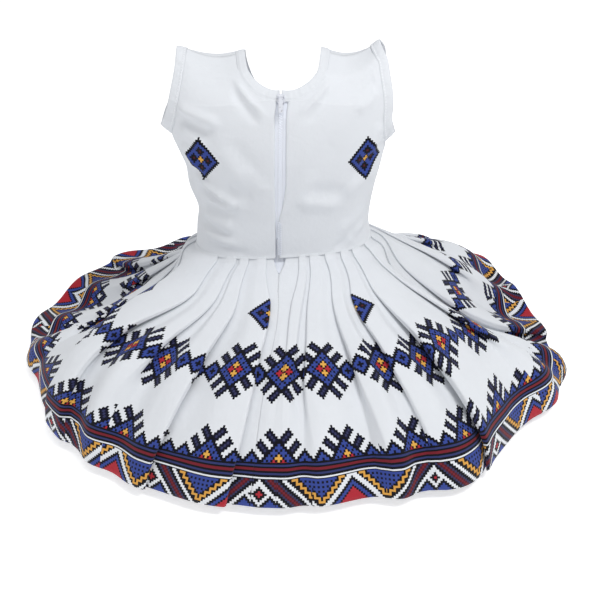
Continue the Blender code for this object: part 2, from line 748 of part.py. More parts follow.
def band_wall(name, seam, edge, material, closed=False):
    """A band from its seam to its free edge."""
    width = np.linalg.norm(edge - seam, axis=1, keepdims=True)
    start = seam + (edge - seam) * (BAND_GAP / width)
    grid = np.array([start, (start + edge) / 2, edge])
    if closed:
        grid = np.concatenate([grid[:, -1:], grid, grid[:, :1]], axis=1)
    outer, inner = offset_walls(grid, BAND_CLOTH)
    if closed:
        outer, inner = outer[:, 1:-1], inner[:, 1:-1]
    wall_solid(name, [(outer, inner)], material, closed)


def build_armhole_bands(materials, halves):
    """A band round each armhole, closed at the shoulder and the underarm."""
    first = len(LOWER_HEIGHTS)
    for name, side, table in (("armhole_band_left", -1, ARMHOLE_LEFT),
                              ("armhole_band_right", 1, ARMHOLE_RIGHT)):
        edge_out, edge_height = read_along(
            table, ARMHOLE_COLUMNS, ("edge_out", "edge_height"), ARMHOLE_PICKS[::-1])
        back, front = halves[side, False][first:], halves[side, True][first:]
        loops = []
        for half in (back, front):
            seam = half[:, -1].copy()
            seam[[0, -1], 1] = 0.0
            edge = np.stack([side * edge_out, seam[:, 1] * ARMHOLE_EDGE_DEPTH, edge_height],
                            axis=-1)
            loops.append((seam, edge))
        seam, edge = [np.concatenate([b, f[::-1][1:-1]]) for b, f in zip(*loops)]
        band_wall(name, seam, edge, materials["white_band"], closed=True)


def neck_loop(halves, side, front):
    """Seam and edge points of the neck band over one quarter, upwards."""
    half = halves[side, front]
    table = NECK_FRONT if front else NECK_BACK
    picks = NECK_FRONT_PICKS if front else NECK_BACK_PICKS
    seam = half[-len(picks):, 0].copy()
    out, height = read_along(table, NECK_COLUMNS, ("edge_out", "edge_height"), picks)
    x = side * out
    edge = torso_point(x, np.minimum(height, shoulder_top(x)), front)
    seam[-1, 1] = edge[-1, 1] = 0.0
    edge[-1, 2] = shoulder_top(x[-1])
    if not front:
        x = np.array([zip_across(ZIP_TOP) + side * NECK_OPENING] * 2)
        heights = np.array([seam[0, 2], edge[0, 2]])
        start = torso_point(x, heights, False)
        seam = np.concatenate([start[:1], seam])
        edge = np.concatenate([start[1:], edge])
    return seam, edge


def build_neck_band(materials, halves):
    """The band round the neck, open at the zip."""
    back_right = neck_loop(halves, 1, False)
    front_right = neck_loop(halves, 1, True)
    front_left = neck_loop(halves, -1, True)
    back_left = neck_loop(halves, -1, False)
    seam, edge = [np.concatenate([a, b[::-1][1:], c[1:], d[::-1][1:]])
                  for a, b, c, d in zip(back_right, front_right, front_left, back_left)]
    band_wall("neck_band", seam, edge, materials["white_band"])


def zip_surface(across):
    """Points of the cloth's middle down the zip, at distances from its own middle."""
    grid = []
    for height in ZIP_HEIGHTS:
        middle = zip_across(height)
        x = middle + np.array(across)
        row = torso_point(x, np.full(len(x), height), False)
        edge = waist_height(np.degrees(np.arctan2(row[:, 0], -row[:, 1])))
        row[:, 2] += edge * max(0.0, 1 - height / WAIST_FADE)
        row[:, 1] += LEAST_RISE * np.interp(height, (ZIP_SINK, 2 * ZIP_SINK), (1, 0))
        grid.append(row)
    for share in ZIP_TAIL_SHARES:
        middle = skirt_cut(share, "back")
        radius, _ = plain_skirt(middle, share)
        azimuth = middle + np.array(across) / (float(radius) * math.radians(1))
        grid.append(skirt_point(azimuth, share, np.full(len(across), -LEAST_RISE)))
    return np.array(grid)


def zip_strip(name, across, depth, thickness, material, first=0, last=None):
    """A strip along the zip, sunk below the middle of the cloth by a depth."""
    grid = zip_surface(across)[first:last]
    near, _ = offset_walls(grid, 2 * depth - thickness)
    far, _ = offset_walls(grid, 2 * depth + thickness)
    wall_solid(name, [(near, far)], material)


def build_zip(materials):
    """Tapes and chain down the back."""
    inner = CHAIN_HALF + SEAM_GAP
    zip_strip("zip_tape_left", (-TAPE_OUT, -inner), TAPE_DEPTH, TAPE_CLOTH,
              materials["zip_tape"])
    zip_strip("zip_tape_right", (inner, TAPE_OUT), TAPE_DEPTH, TAPE_CLOTH,
              materials["zip_tape"])
    zip_strip("zip_chain", (-CHAIN_HALF, CHAIN_HALF), CHAIN_DEPTH, CHAIN_THICK,
              materials["zip_plastic"], first=CHAIN_FIRST, last=-1)


def slider_frame():
    """Middle of the slider on the cloth, with its up and outward directions."""
    x = zip_across(SLIDER_HEIGHT)
    reach = SLIDER_LENGTH / 2
    low, middle, high = [torso_point(np.array(x), np.array(SLIDER_HEIGHT + step), False)
                         for step in (-reach, 0.0, reach)]
    up = (high - low) / np.linalg.norm(high - low)
    out = np.array([0.0, -up[2], up[1]])
    return middle, up, out


def add_block(name, outline, half, material, frame, shift=0.0):
    """A solid with an outline in up and out, as wide as twice its half width."""
    origin, up, out = frame
    across = np.array([1.0, 0.0, 0.0])
    points = []
    for x in (shift - half, shift + half):
        points.extend(origin + across * x + up * u + out * w for u, w in outline)
    count = len(outline)
    faces = [tuple(range(count)), tuple(range(2 * count - 1, count - 1, -1))]
    for k in range(count):
        follow = (k + 1) % count
        faces.append((k, count + k, count + follow, follow))
    return add_solid(name, points, faces, material)


def join_by_union(target, pieces):
    """Fuse pieces into a target with Boolean unions, and remove them."""
    for piece in pieces:
        union = target.modifiers.new("join " + piece.name, "BOOLEAN")
        union.operation = "UNION"
        union.object = piece
        bpy.context.view_layer.update()
        graph = bpy.context.evaluated_depsgraph_get()
        joined = bpy.data.meshes.new_from_object(target.evaluated_get(graph))
        target.modifiers.clear()
        target.data = joined
        bpy.data.objects.remove(piece, do_unlink=True)


def ring_outline(radius, sides, centre):
    """Points of a circle in up and out."""
    turns = [2 * math.pi * k / sides for k in range(sides)]
    return [(centre[0] + radius * math.cos(t), centre[1] + radius * math.sin(t))
            for t in turns]


def build_slider(materials):
    """The slider, with two lugs that hold the pin of the pull tab."""
    metal = materials["white_metal"]
    frame = slider_frame()
    half = SLIDER_LENGTH / 2
    low, high = SLIDER_LEVELS
    body = add_block("zip_slider", (
        (-half, low), (half, low), (half, high - SLIDER_SOFT), (half - SLIDER_SOFT, high),
        (SLIDER_SOFT - half, high), (-half, high - SLIDER_SOFT)), SLIDER_HALF, metal, frame)
    lugs = []
    lug_at = TAB_HALF + SEAM_GAP + LUG_THICK / 2
    for side in (-1, 1):
        outline = [(PIN_UP - LUG_REACH, high - SLIDER_SOFT), (PIN_UP + LUG_REACH, high - SLIDER_SOFT),
                   (PIN_UP + LUG_REACH, PIN_OUT), (PIN_UP + LUG_REACH / 2, PIN_OUT + LUG_REACH),
                   (PIN_UP - LUG_REACH / 2, PIN_OUT + LUG_REACH), (PIN_UP - LUG_REACH, PIN_OUT)]
        lugs.append(add_block("lug", outline, LUG_THICK / 2, metal, frame, side * lug_at))
    pin = add_block("pin", ring_outline(PIN_RADIUS, PIN_SIDES, (PIN_UP, PIN_OUT)), lug_at, metal, frame)
    join_by_union(body, lugs + [pin])


def build_pull_tab(materials):
    """The pull tab: a loop round the pin and a flat tab, hinged on the pin."""
    origin, up, out = slider_frame()
    sides = LOOP_SIDES
    profile = []
    for radius in (LOOP_INNER, LOOP_OUTER):
        profile.extend(ring_outline(radius, sides, (0.0, 0.0)))
    back = sides // 2
    tab = [(-TAB_LENGTH, profile[sides + back + step][1]) for step in (-1, 0, 1)]
    first_tab = len(profile)
    profile.extend(tab)
    cells = [(k, sides + k, sides + (k + 1) % sides, (k + 1) % sides) for k in range(sides)]
    for step in (0, 1):
        root = sides + back - 1 + step
        cells.append((root, first_tab + step, first_tab + step + 1, root + 1))
    work = bmesh.new()
    across = np.array([1.0, 0.0, 0.0])
    pin = origin + up * PIN_UP + out * PIN_OUT
    corners = []
    for x in (-TAB_HALF, TAB_HALF):
        corners.append([work.verts.new(across * x + up * u + out * w) for u, w in profile])
    edges = {}
    for cell in cells:
        work.faces.new([corners[0][k] for k in cell])
        work.faces.new([corners[1][k] for k in reversed(cell)])
        for k, follow in zip(cell, cell[1:] + cell[:1]):
            edges[frozenset((k, follow))] = edges.get(frozenset((k, follow)), 0) + 1
    for edge, uses in edges.items():
        if uses == 1:
            k, follow = tuple(edge)
            work.faces.new([corners[0][k], corners[0][follow],
                            corners[1][follow], corners[1][k]])
    bmesh.ops.recalc_face_normals(work, faces=work.faces)
    mesh = bpy.data.meshes.new("zip_pull_tab")
    work.to_mesh(mesh)
    work.free()
    mesh.transform(Matrix.Scale(MM, 4))
    mesh.materials.append(materials["white_metal"])
    made = bpy.data.objects.new("zip_pull_tab", mesh)
    made.location = (pin[0] * MM, pin[1] * MM, (pin[2] - SHOULDER_HEIGHT) * MM)
    bpy.context.scene.collection.objects.link(made)


def build_all():
    """Build every piece of the dress."""
    clear_scene()
    materials = make_materials()
    halves = {(side, front): bodice_half(side, front)
              for side in (-1, 1) for front in (False, True)}
    build_skirt(materials)
    build_bodice(materials, halves)
    build_armhole_bands(materials, halves)
    build_neck_band(materials, halves)
    build_zip(materials)
    build_slider(materials)
    build_pull_tab(materials)


build_all()
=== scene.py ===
"""Looks for a toddler's summer dress: cotton with a woven-looking border print.

The dress is seen from its zip side, which faces -Y. Tables are in millimetres and
degrees, heights run up from the waist seam, and an azimuth of 0 is the centre back,
growing towards +X. Finished points are moved so that the origin lies between the
shoulders, as on the frame.
"""
import math

import bpy
import numpy as np
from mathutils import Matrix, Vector

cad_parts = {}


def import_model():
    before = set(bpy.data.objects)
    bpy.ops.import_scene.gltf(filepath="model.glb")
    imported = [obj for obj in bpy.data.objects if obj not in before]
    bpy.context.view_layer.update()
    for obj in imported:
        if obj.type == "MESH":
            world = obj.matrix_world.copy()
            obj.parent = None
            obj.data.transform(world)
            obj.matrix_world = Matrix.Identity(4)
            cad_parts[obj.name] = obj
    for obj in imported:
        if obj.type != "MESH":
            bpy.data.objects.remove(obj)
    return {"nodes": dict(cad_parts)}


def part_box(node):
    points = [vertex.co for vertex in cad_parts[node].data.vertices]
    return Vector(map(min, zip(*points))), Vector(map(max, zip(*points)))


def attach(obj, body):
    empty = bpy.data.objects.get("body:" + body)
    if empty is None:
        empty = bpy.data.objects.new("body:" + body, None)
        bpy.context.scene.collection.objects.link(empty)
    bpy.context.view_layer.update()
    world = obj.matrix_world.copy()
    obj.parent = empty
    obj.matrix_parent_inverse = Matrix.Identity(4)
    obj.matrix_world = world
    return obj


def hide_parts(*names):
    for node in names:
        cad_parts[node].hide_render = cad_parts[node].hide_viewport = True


bl_info = {
    "name": "Summer Dress Cloth",
    "version": (1, 0, 0),
    "blender": (4, 5, 0),
    "location": "View3D > Sidebar > Dress",
    "description": "Cloth, print, stitching and zip of a pleated summer dress",
    "category": "Object",
}

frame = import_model()

MM = 0.001
SHOULDER_HEIGHT = 217.0
WAIST_ABOVE_HEM = 132.0
WAIST_RISE = 1.0
WAIST_RISE_BACK = 8.0
WAIST_RISE_RIGHT = 5.0
WAIST_ROUNDNESS = 2.3
TORSO_ROUNDNESS = 2.3
SHOULDER_START = 168.0
SHOULDER_FADE = 8.0
LEAST_DEPTH = 0.02

# Torso sections: height, half width left, half width right, depth back, depth front
TORSO_COLUMNS = ("height", "left", "right", "back", "front")
TORSO = (
    (-12, 100.0, 97.5, 67.5, 66.5),
    (0, 99.5, 97.0, 67.0, 66.0),
    (20, 98.0, 94.5, 65.5, 66.5),
    (44, 95.5, 96.0, 64.5, 68.0),
    (70, 104.0, 100.0, 66.0, 70.5),
    (92, 106.5, 105.0, 68.0, 72.0),
    (110, 113.0, 108.5, 69.5, 72.5),
    (118, 116.5, 110.0, 70.0, 72.5),
    (127, 119.5, 112.5, 70.0, 72.0),
    (140, 123.0, 116.0, 69.5, 71.0),
    (155, 125.5, 119.0, 68.0, 68.5),
    (172, 126.0, 120.5, 65.5, 65.0),
    (190, 122.0, 117.5, 62.0, 61.0),
    (205, 117.0, 113.0, 60.0, 58.0),
    (230, 112.0, 109.0, 58.0, 56.0),
)

# Top line of the shoulders: distance from the middle, height left, height right
SHOULDER_COLUMNS = ("out", "left", "right")
SHOULDER = (
    (0, 214.5, 217.5),
    (38, 213.0, 216.5),
    (50, 210.5, 212.5),
    (65, 208.0, 209.5),
    (80, 209.5, 213.0),
    (90, 212.5, 218.5),
    (100, 216.5, 226.0),
    (112, 220.0, 230.0),
)

# Armhole from the shoulder tip to the underarm: seam of the band, then its free edge
ARMHOLE_COLUMNS = ("seam_out", "seam_height", "edge_out", "edge_height")
ARMHOLE_LEFT = (
    (99.5, 216.3, 110.0, 219.0),
    (100.5, 206.0, 110.5, 207.0),
    (103.0, 193.0, 113.0, 193.5),
    (106.0, 178.0, 116.5, 179.0),
    (109.5, 162.0, 120.5, 163.5),
    (113.5, 146.0, 126.0, 150.0),
    (117.5, 134.0, 129.5, 142.5),
    (119.5, 127.0, 131.0, 137.5),
)
ARMHOLE_RIGHT = (
    (90.5, 218.8, 99.5, 226.0),
    (97.5, 208.5, 107.5, 212.0),
    (99.5, 196.0, 110.0, 198.0),
    (102.5, 181.0, 113.0, 183.0),
    (103.8, 166.0, 114.0, 168.0),
    (103.5, 150.0, 113.5, 153.5),
    (105.5, 132.0, 116.0, 139.5),
    (110.0, 118.0, 120.0, 127.5),
)
ARMHOLE_EDGE_DEPTH = 0.88

# Neckline: distance out and height of the band's seam and of its free edge
NECK_COLUMNS = ("seam_out", "seam_height", "edge_out", "edge_height")
NECK_BACK = (
    (0.0, 181.0, 0.0, 190.5),
    (8.0, 181.3, 7.0, 190.8),
    (18.0, 183.3, 14.5, 192.2),
    (28.0, 187.6, 22.5, 195.6),
    (37.0, 193.8, 29.5, 200.0),
    (44.0, 201.5, 35.0, 205.5),
    (49.0, 210.8, 39.5, 213.5),
)
NECK_FRONT = (
    (0.0, 131.0, 0.0, 141.0),
    (13.0, 133.0, 11.0, 142.8),
    (27.0, 140.0, 21.5, 148.5),
    (39.0, 152.5, 31.0, 158.5),
    (47.0, 171.0, 37.5, 174.0),
    (50.0, 190.0, 40.5, 191.0),
    (50.0, 203.0, 40.5, 204.5),
    (49.0, 210.8, 39.5, 213.5),
)

# Hem seen from above: azimuth and distance from the middle
HEM_COLUMNS = ("azimuth", "radius")
HEM = (
    (-180, 280), (-154, 279), (-143, 291), (-128, 302), (-112, 301), (-100, 303),
    (-90, 308), (-79, 299), (-59, 302), (-44, 308), (-24, 312), (-5, 311), (15, 310),
    (27, 321), (36.5, 331), (41.5, 318), (49, 313), (61, 321), (72, 331), (83, 318),
    (96, 311), (109, 314), (122, 324), (133, 318), (145, 303), (160, 284),
)

# How far the skirt bells out: 1 is a full bell, 0 a straight cone, below 0 a flare
FULLNESS_COLUMNS = ("azimuth", "fullness")
FULLNESS = (
    (-180, -0.3), (-150, -0.45), (-128, -0.6), (-110, -0.6), (-98, -0.4), (-86, 0.2),
    (-70, 0.95), (-30, 1.0), (30, 1.0), (52, 0.95), (68, 0.8), (82, 0.1), (95, -0.5),
    (112, -0.5), (128, -0.05), (145, 0.05), (165, -0.15),
)

# Skirt profiles: share of the way out, share of the height, for bell and cone, and
# how much sooner round the dress the bell ends at that height
PROFILE_COLUMNS = ("bell_out", "bell_height", "cone_out", "cone_height", "sooner")
PROFILE = (
    (0.0, 1.0, 0.0, 1.0, 1.0),
    (0.012, 0.972, 0.012, 0.967, 1.05),
    (0.06, 0.942, 0.07, 0.92, 1.15),
    (0.307, 0.885, 0.2, 0.775, 1.25),
    (0.545, 0.79, 0.4, 0.58, 1.25),
    (0.766, 0.625, 0.6, 0.385, 1.2),
    (0.865, 0.5, 0.75, 0.245, 1.13),
    (0.951, 0.32, 0.87, 0.125, 1.06),
    (0.985, 0.17, 0.95, 0.045, 1.0),
    (1.0, 0.0, 1.0, 0.0, 1.0),
)

# Pleats: azimuths down the skirt, which side lies on top (1 is the left), the width
# that is tucked away, and how far the cloth rises and dips further down
PLEAT_SHARES = (0.0, 0.25, 0.55, 0.8, 1.0)
PLEAT_COLUMNS = ("waist", "upper", "middle", "hem", "top",
                 "tuck_waist", "tuck_upper", "tuck_middle",
                 "rise_middle", "rise_low", "rise_hem")
PLEATS = (
    (-176, -177, -178, -177, 1, 9, 16, 10, 4.5, 6.5, 5.0),
    (-162, -162, -162, -163, 1, 8, 15, 11, 4.5, 7.0, 4.5),
    (-148, -146, -145, -146, 1, 9, 17, 10, 5.0, 7.5, 5.5),
    (-134, -129, -127, -128, 1, 8, 15, 12, 4.5, 6.5, 5.0),
    (-120, -112, -109, -110, 1, 9, 16, 10, 5.0, 7.0, 5.5),
    (-106, -94, -90, -92, 1, 8, 15, 11, 4.5, 6.0, 4.5),
    (-95, -78, -71, -74, 1, 7, 14, 10, 4.5, 6.5, 5.0),
    (-84, -62, -53, -57, -1, 8, 17, 10, 6.0, 6.0, 3.5),
    (-58, -42, -46, -47, 1, 9, 20, 13, 6.0, 6.5, 3.5),
    (-42, -30, -33, -36, 1, 5, 9, 8, 5.0, 5.5, 2.5),
    (-33, -21.5, -21, -25.5, 1, 6, 16, 12, 6.0, 5.0, 3.0),
    (-17.5, -7.5, -7, -10, 1, 4, 13, 11, 4.0, 4.0, 3.0),
    (15.5, 5, 0.5, -1, -1, 4, 8, 3, 1.5, 1.0, 0.5),
    (25, 12, 6, 5.5, -1, 5, 12, 9, 3.0, 3.5, 2.0),
    (38, 22, 18, 19, -1, 7, 8, 9, 5.0, 7.5, 4.5),
    (50, 31, 27, 28, -1, 6, 14, 12, 4.0, 3.5, 2.5),
    (59, 42, 37.5, 39, -1, 6, 18, 14, 7.0, 7.0, 3.0),
    (72, 57.5, 57, 60, -1, 8, 14, 11, 5.0, 5.5, 4.0),
    (87, 74, 73, 74, -1, 8, 15, 11, 4.5, 6.5, 4.5),
    (103, 92, 89, 89, -1, 9, 16, 10, 5.0, 7.0, 5.0),
    (118, 110, 106, 105, -1, 8, 15, 12, 4.5, 6.5, 5.5),
    (133, 127, 124, 121, -1, 9, 16, 10, 5.0, 7.5, 5.0),
    (149, 146, 142, 138, -1, 8, 15, 11, 4.5, 6.5, 4.5),
    (166, 164, 161, 159, -1, 9, 16, 10, 5.0, 7.0, 5.0),
)
LEAST_RISE = 0.9
UPPER_RISE = 1.5

# One pleat across: its spread, its share of the tuck, its level when folded and its
# level when it has opened into a wave
ACROSS_COLUMNS = ("spread", "tuck", "folded", "open")
ACROSS = (
    (-1.0, -1.0, 1.0, 1.0),
    (-0.62, 0.82, 1.0, 0.83),
    (-0.45, 1.0, 0.5, 0.65),
    (-0.28, 0.82, 0.0, 0.43),
    (0.28, -0.82, 0.0, -0.43),
    (0.45, -1.0, -0.5, -0.65),
    (0.62, -0.82, -1.0, -0.83),
    (1.0, 1.0, -1.0, -1.0),
)
ACROSS_FINE = 4
PANEL_FINE = 12
EDGE_FINE = 8
PLEAT_SPREAD = (1.0, 3.0, 7.0, 16.0, 22.0)
PLEAT_OPENNESS = (0.0, 0.0, 0.35, 1.0, 1.0)

# Deep pleats that stay folded to the hem: number of the pleat, then its tuck low down
# and at the hem, and its openness low down and at the hem
STAY_FOLDED = (
    (10, 11, 7, 0.0, 0.1),
    (11, 11, 7, 0.0, 0.15),
    (14, 4, 0, 0.6, 0.9),
    (15, 6, 2, 0.4, 0.7),
    (16, 13, 9, 0.0, 0.1),
    (8, 8, 4, 0.4, 0.7),
    (3, 9, 6, 0.1, 0.3),
    (19, 9, 6, 0.1, 0.3),
    (22, 9, 6, 0.1, 0.3),
    (0, 9, 6, 0.1, 0.3),
)
FOLDED_SPREAD = 4.0
GAP_SHARE = 0.44
SPREAD_SHARE = 0.6
SLOPE_REACH = 0.012
PROFILE_STEPS = 121
PROFILE_FINE = 481

# Seams down the skirt: azimuths at the place shares, kept between the pleats
PLACE_SHARES = (0.0, 0.25, 0.55, 1.0)
SEAMS = {
    "back": (-3.6, -2.6, -3.8, -5.5),
    "right": (94, 83, 80.5, 81),
    "left": (-100.5, -86, -80.5, -83),
}
SEAM_ROOM = 0.3
RING_COUNT = 86
RING_CROWDING = 1.25

# Creases of the skirt: azimuth and share where each starts, azimuth and share where it
# ends, its width, and how far it rises, or dips where it is below 0
SKIRT_CREASES = (
    (-34, 0.5, -31, 0.82, 13, -3.2),
    (-45, 0.5, -46, 0.84, 12, -2.6),
    (-39, 0.5, -38, 0.9, 12, 2.2),
    (-28, 0.42, -24, 0.62, 9, 1.8),
    (-24.5, 0.6, -26, 0.9, 5, -1.0),
    (-15, 0.3, -13, 0.95, 14, 1.8),
    (3.5, 0.5, 5.5, 0.85, 9, -2.4),
    (11, 0.4, 13, 0.95, 12, 1.8),
    (22.5, 0.35, 23, 0.9, 12, 1.6),
    (18, 0.3, 18, 0.78, 7, -2.0),
    (32, 0.4, 31, 0.9, 12, 1.6),
    (40.5, 0.42, 41, 0.7, 5, -2.4),
    (47, 0.35, 48, 0.9, 13, 1.8),
    (-58, 0.35, -62, 0.85, 15, -2.2),
    (-66, 0.3, -70, 0.85, 12, 1.8),
    (65, 0.35, 66, 0.9, 14, 1.6),
    (81, 0.3, 81, 0.9, 11, -2.0),
    (98, 0.35, 97, 0.9, 14, 1.6),
    (115, 0.3, 113, 0.85, 13, -1.8),
    (132, 0.3, 130, 0.9, 12, 1.8),
    (151, 0.35, 149, 0.85, 12, -1.8),
    (171, 0.3, 170, 0.9, 13, 1.6),
    (-169, 0.35, -170, 0.85, 12, -1.8),
    (-154, 0.3, -153, 0.9, 13, 1.6),
    (-137, 0.3, -136, 0.85, 12, -2.0),
    (-118, 0.3, -118, 0.9, 13, 1.8),
    (-101, 0.35, -100, 0.85, 12, -1.6),
    (-83, 0.3, -82, 0.9, 12, 1.6),
)

# Creases of each panel of the bodice: distance from the middle and height where each
# starts, the same where it ends, its width, and how far it rises
BODICE_CREASES = {
    "back_left": (
        (-104, 98, -82, 90, 5.4, 2.6),
        (-96, 90, -66, 73, 4.1, -4.6),
        (-70, 76, -50, 66, 4.0, -3.8),
        (-98, 82, -64, 66, 5.4, 3.8),
        (-60, 84, -34, 74, 8.1, 2.3),
        (-84, 68, -56, 61, 3.6, -3.5),
        (-88, 60, -52, 53, 5.4, 2.3),
        (-94, 48, -56, 36, 6.3, -3.5),
        (-96, 36, -60, 26, 5.9, 2.3),
        (-94, 25, -52, 18, 5.0, -2.3),
        (-80, 12, -40, 10, 4.5, 1.6),
        (-110, 168, -68, 158, 5.9, -4.3),
        (-112, 156, -76, 144, 7.2, 3.8),
        (-112, 146, -84, 132, 6.3, -2.9),
        (-112, 128, -98, 104, 5.4, -2.3),
        (-47, 196, -20, 169, 3.1, -2.9),
        (-50, 188, -26, 160, 4.5, 2.3),
        (-52, 138, -24, 96, 10.8, 1.9),
        (-62, 128, -40, 92, 10.8, -1.9),
        (-40, 112, -18, 84, 7.2, -1.6),
    ),
    "back_right": (
        (106, 150, 96, 118, 7.2, -3.8),
        (104, 120, 80, 96, 8.1, 2.6),
        (102, 100, 70, 76, 8.1, -2.3),
        (66, 78, 28, 86, 8.1, 2.0),
        (58, 66, 18, 72, 7.2, -2.6),
        (94, 50, 62, 34, 8.1, -2.2),
        (96, 34, 70, 18, 5.4, -2.9),
        (84, 26, 56, 14, 5.4, 2.0),
        (46, 196, 20, 171, 3.2, -2.5),
        (48, 188, 26, 163, 4.5, 1.9),
        (100, 184, 78, 170, 6.3, -2.3),
        (98, 196, 82, 188, 5.4, 1.7),
        (52, 140, 30, 104, 10.8, 1.4),
    ),
    "front": (
        (-96, 70, -48, 60, 9.0, -1.7),
        (-92, 84, -44, 72, 9.0, 1.5),
        (94, 78, 46, 62, 9.0, -1.7),
        (92, 92, 50, 76, 9.0, 1.5),
        (-88, 30, -24, 20, 8.0, -1.2),
        (88, 28, 20, 22, 8.0, -1.2),
        (-104, 140, -70, 124, 8.0, 1.3),
        (102, 138, 66, 122, 8.0, 1.3),
        (-44, 150, -16, 126, 7.0, -1.1),
        (42, 148, 18, 124, 7.0, -1.1),
    ),
}

# Where the print's motifs lie: number of the pleat before, then the number of a motif
# and its azimuth in the middle row, and the same in the low row
PRINT_MARKS = (
    (3, -10, -126, -10, -126),
    (4, -9, -105, -9, -108),
    (5, -8, -84, -8, -88),
    (6, -6, -55.5, -6, -62),
    (7, -6, -55.5, -5, -47),
    (8, -5, -39.5, -5, -47),
    (9, -4, -30.5, -4, -31.5),
    (10, -2, -11, -2, -13.5),
    (11, 0, 0.5, 0, -0.5),
    (12, 0, 0.5, 0, -0.5),
    (13, 1, 10, 1, 12.5),
    (14, 2, 25, 2, 25),
    (15, 3, 35, 3, 35),
    (16, 4, 41.5, 5, 45),
    (17, 5, 57.5, 6, 64),
    (18, 7, 80, 7, 80),
    (19, 8, 97, 8, 94),
    (20, 9, 115, 10, 115),
    (21, 10, 129, 11, 126),
    (22, 12, 148, 12, 146),
    (23, 13, 168, 13, 166),
    (0, -14, -168, -14, -169),
    (1, -13, -153, -13, -154),
    (2, -12, -139, -12, -140),
)

# Rows of the print: shares down the skirt, sizes in millimetres, and counts of cells up
# from the low row or out from a motif's middle
MIDDLE_ROW_SHARE = 0.55
LOW_ROW_SHARE = 0.846
SKIRT_CLOTH_LENGTH = 305.0
PRINT_CELL = 2.13
PRINT_CELL_HEIGHT = 2.43
REPEAT_CELLS = 32
LOW_ROW_HEIGHT = 46.0
MIDDLE_ROW_CELL = 37
SPARSE_ROW_CELL = 68
BORDER_CELL = 7
MOTIF_REACH = 19
SPARSE_FIRST = -125.0
SPARSE_SPACING = 294.0
BORDER_SHIFT = 8
BORDER_HALF = 40

# Stripes above the low border: heights where each starts and ends, and its ink
STRIPES = (
    (29.8, 46.9, "black"),
    (31.2, 32.8, "white"),
    (35.2, 37.1, "stripe_blue"),
    (39.0, 41.6, "stripe_red"),
    (43.2, 45.1, "stripe_blue"),
)
INKS = ("black", "navy", "fleck", "blue", "red", "yellow", "orange", "maroon",
        "stripe_blue", "stripe_red")

# Lone diamonds of the bodice
BODICE_DIAMOND_LEFT = -89.0
BODICE_DIAMOND_RIGHT = 91.5
BODICE_DIAMOND_HEIGHT = 115.0

# Rows of the bodice: heights below the underarm, then picks along the tables
LOWER_HEIGHTS = (0.0, 20.0, 44.0, 70.0, 92.0, 109.0)
ARMHOLE_PICKS = np.array((0, 0.5, 1, 1.7, 2.5, 3.3, 4.1, 4.9, 5.7, 6.4, 7))
NECK_BACK_PICKS = np.array((1, 1.8, 2.7, 3.6, 4.4, 5.2, 6))
NECK_FRONT_PICKS = np.array((0, 0.8, 1.5, 2.2, 2.9, 3.6, 4.4, 5.2, 5.9, 6.5, 7))
BODICE_STEPS = 10
BODICE_ROW_FINE = 7
BODICE_COLUMN_FINE = 8
BAND_FINE = 8
ROW_PASSES = 6
CREASE_HALF = 0.32
CREASE_END = 0.2
WAIST_HALF = 100.0
WAIST_FADE = 60.0
NECK_OPENING = 0.9

# Rolled edge at the waist, as distance out and down, and the edge turned in beside the
# zip, as distance over and in
LIP = ((0.25, -0.6), (0.75, 0.3), (1.1, 1.1), (1.2, 1.9))
TURNED_EDGE = ((1.5, 1.15), (1.25, 0.65), (0.75, 0.25))
TURNED_AT_NECK = 0.15

# The zip: where it runs, and how far the cloth's edge laps over it at each height
ZIP_COLUMNS = ("height", "across")
ZIP_LINE = ((-30, -4.6), (0, -4.4), (60, -3.8), (120, -2.6), (185, -1.6), (220, -1.6))
ZIP_OPENING = 7.5
ZIP_TAIL_SHARE = 0.085
BACK_SEAM_GAP = 0.05
SEAM_GAP = 0.02
ZIP_TOP = 188.0
LAP_COLUMNS = ("height", "left", "right")
ZIP_LAP = (
    (0, 1.6, 6.4), (30, 1.5, 6.6), (58, 1.2, 6.2), (70, 0.8, 2.2), (84, 0.3, 0.4),
    (130, 0.0, 0.0), (182, 0.0, 0.0), (220, 0.0, 0.0),
)

# Teeth of the zip: heights of the first and the last, and the sizes of one
TOOTH_HEIGHTS = (2.0, 180.0)
TOOTH_PITCH = 1.25
TOOTH_OUT = 0.95
TOOTH_SINK = 1.35
TOOTH_ENDS = np.array((-1.15, -0.92, 0.92, 1.15))
TOOTH_RADII = np.array((0.3, 0.55, 0.55, 0.3))
TOOTH_SLOPE_REACH = 2.0

# Bands: how thick each row is as a share, ridges as height, place and width, and
# puckers as height and two rates along the band
BAND_ROWS = 11
BAND_LEAST = 0.45
BAND_SWELL = 0.55
BAND_SWELL_REACH = 1.15
BAND_EDGE = 0.25
BAND_RIDGES = ((0.5, 0.14, 0.08), (-0.35, 0.3, 0.07))
PUCKER_RISE = 0.3
PUCKER_RATES = (0.7, 0.23)
PUCKER_SHIFT = 1.0

# Ends of one stitch: places along it, thickness there and how far they dip
STITCH_SHARES = np.array((0.0, 0.25, 0.75, 1.0))
STITCH_RADII = np.array((0.15, 1.0, 1.0, 0.15))
STITCH_DIPS = np.array((-0.25, 0.0, 0.0, -0.25))
BAND_STITCH_ROW = 2
HEM_STITCH_ROW = -3
ZIP_STITCH_COLUMN = 3
BAND_STITCH_LIFT = 0.42
CLOTH_STITCH_LIFT = 0.5
THREAD_SIDES = 6

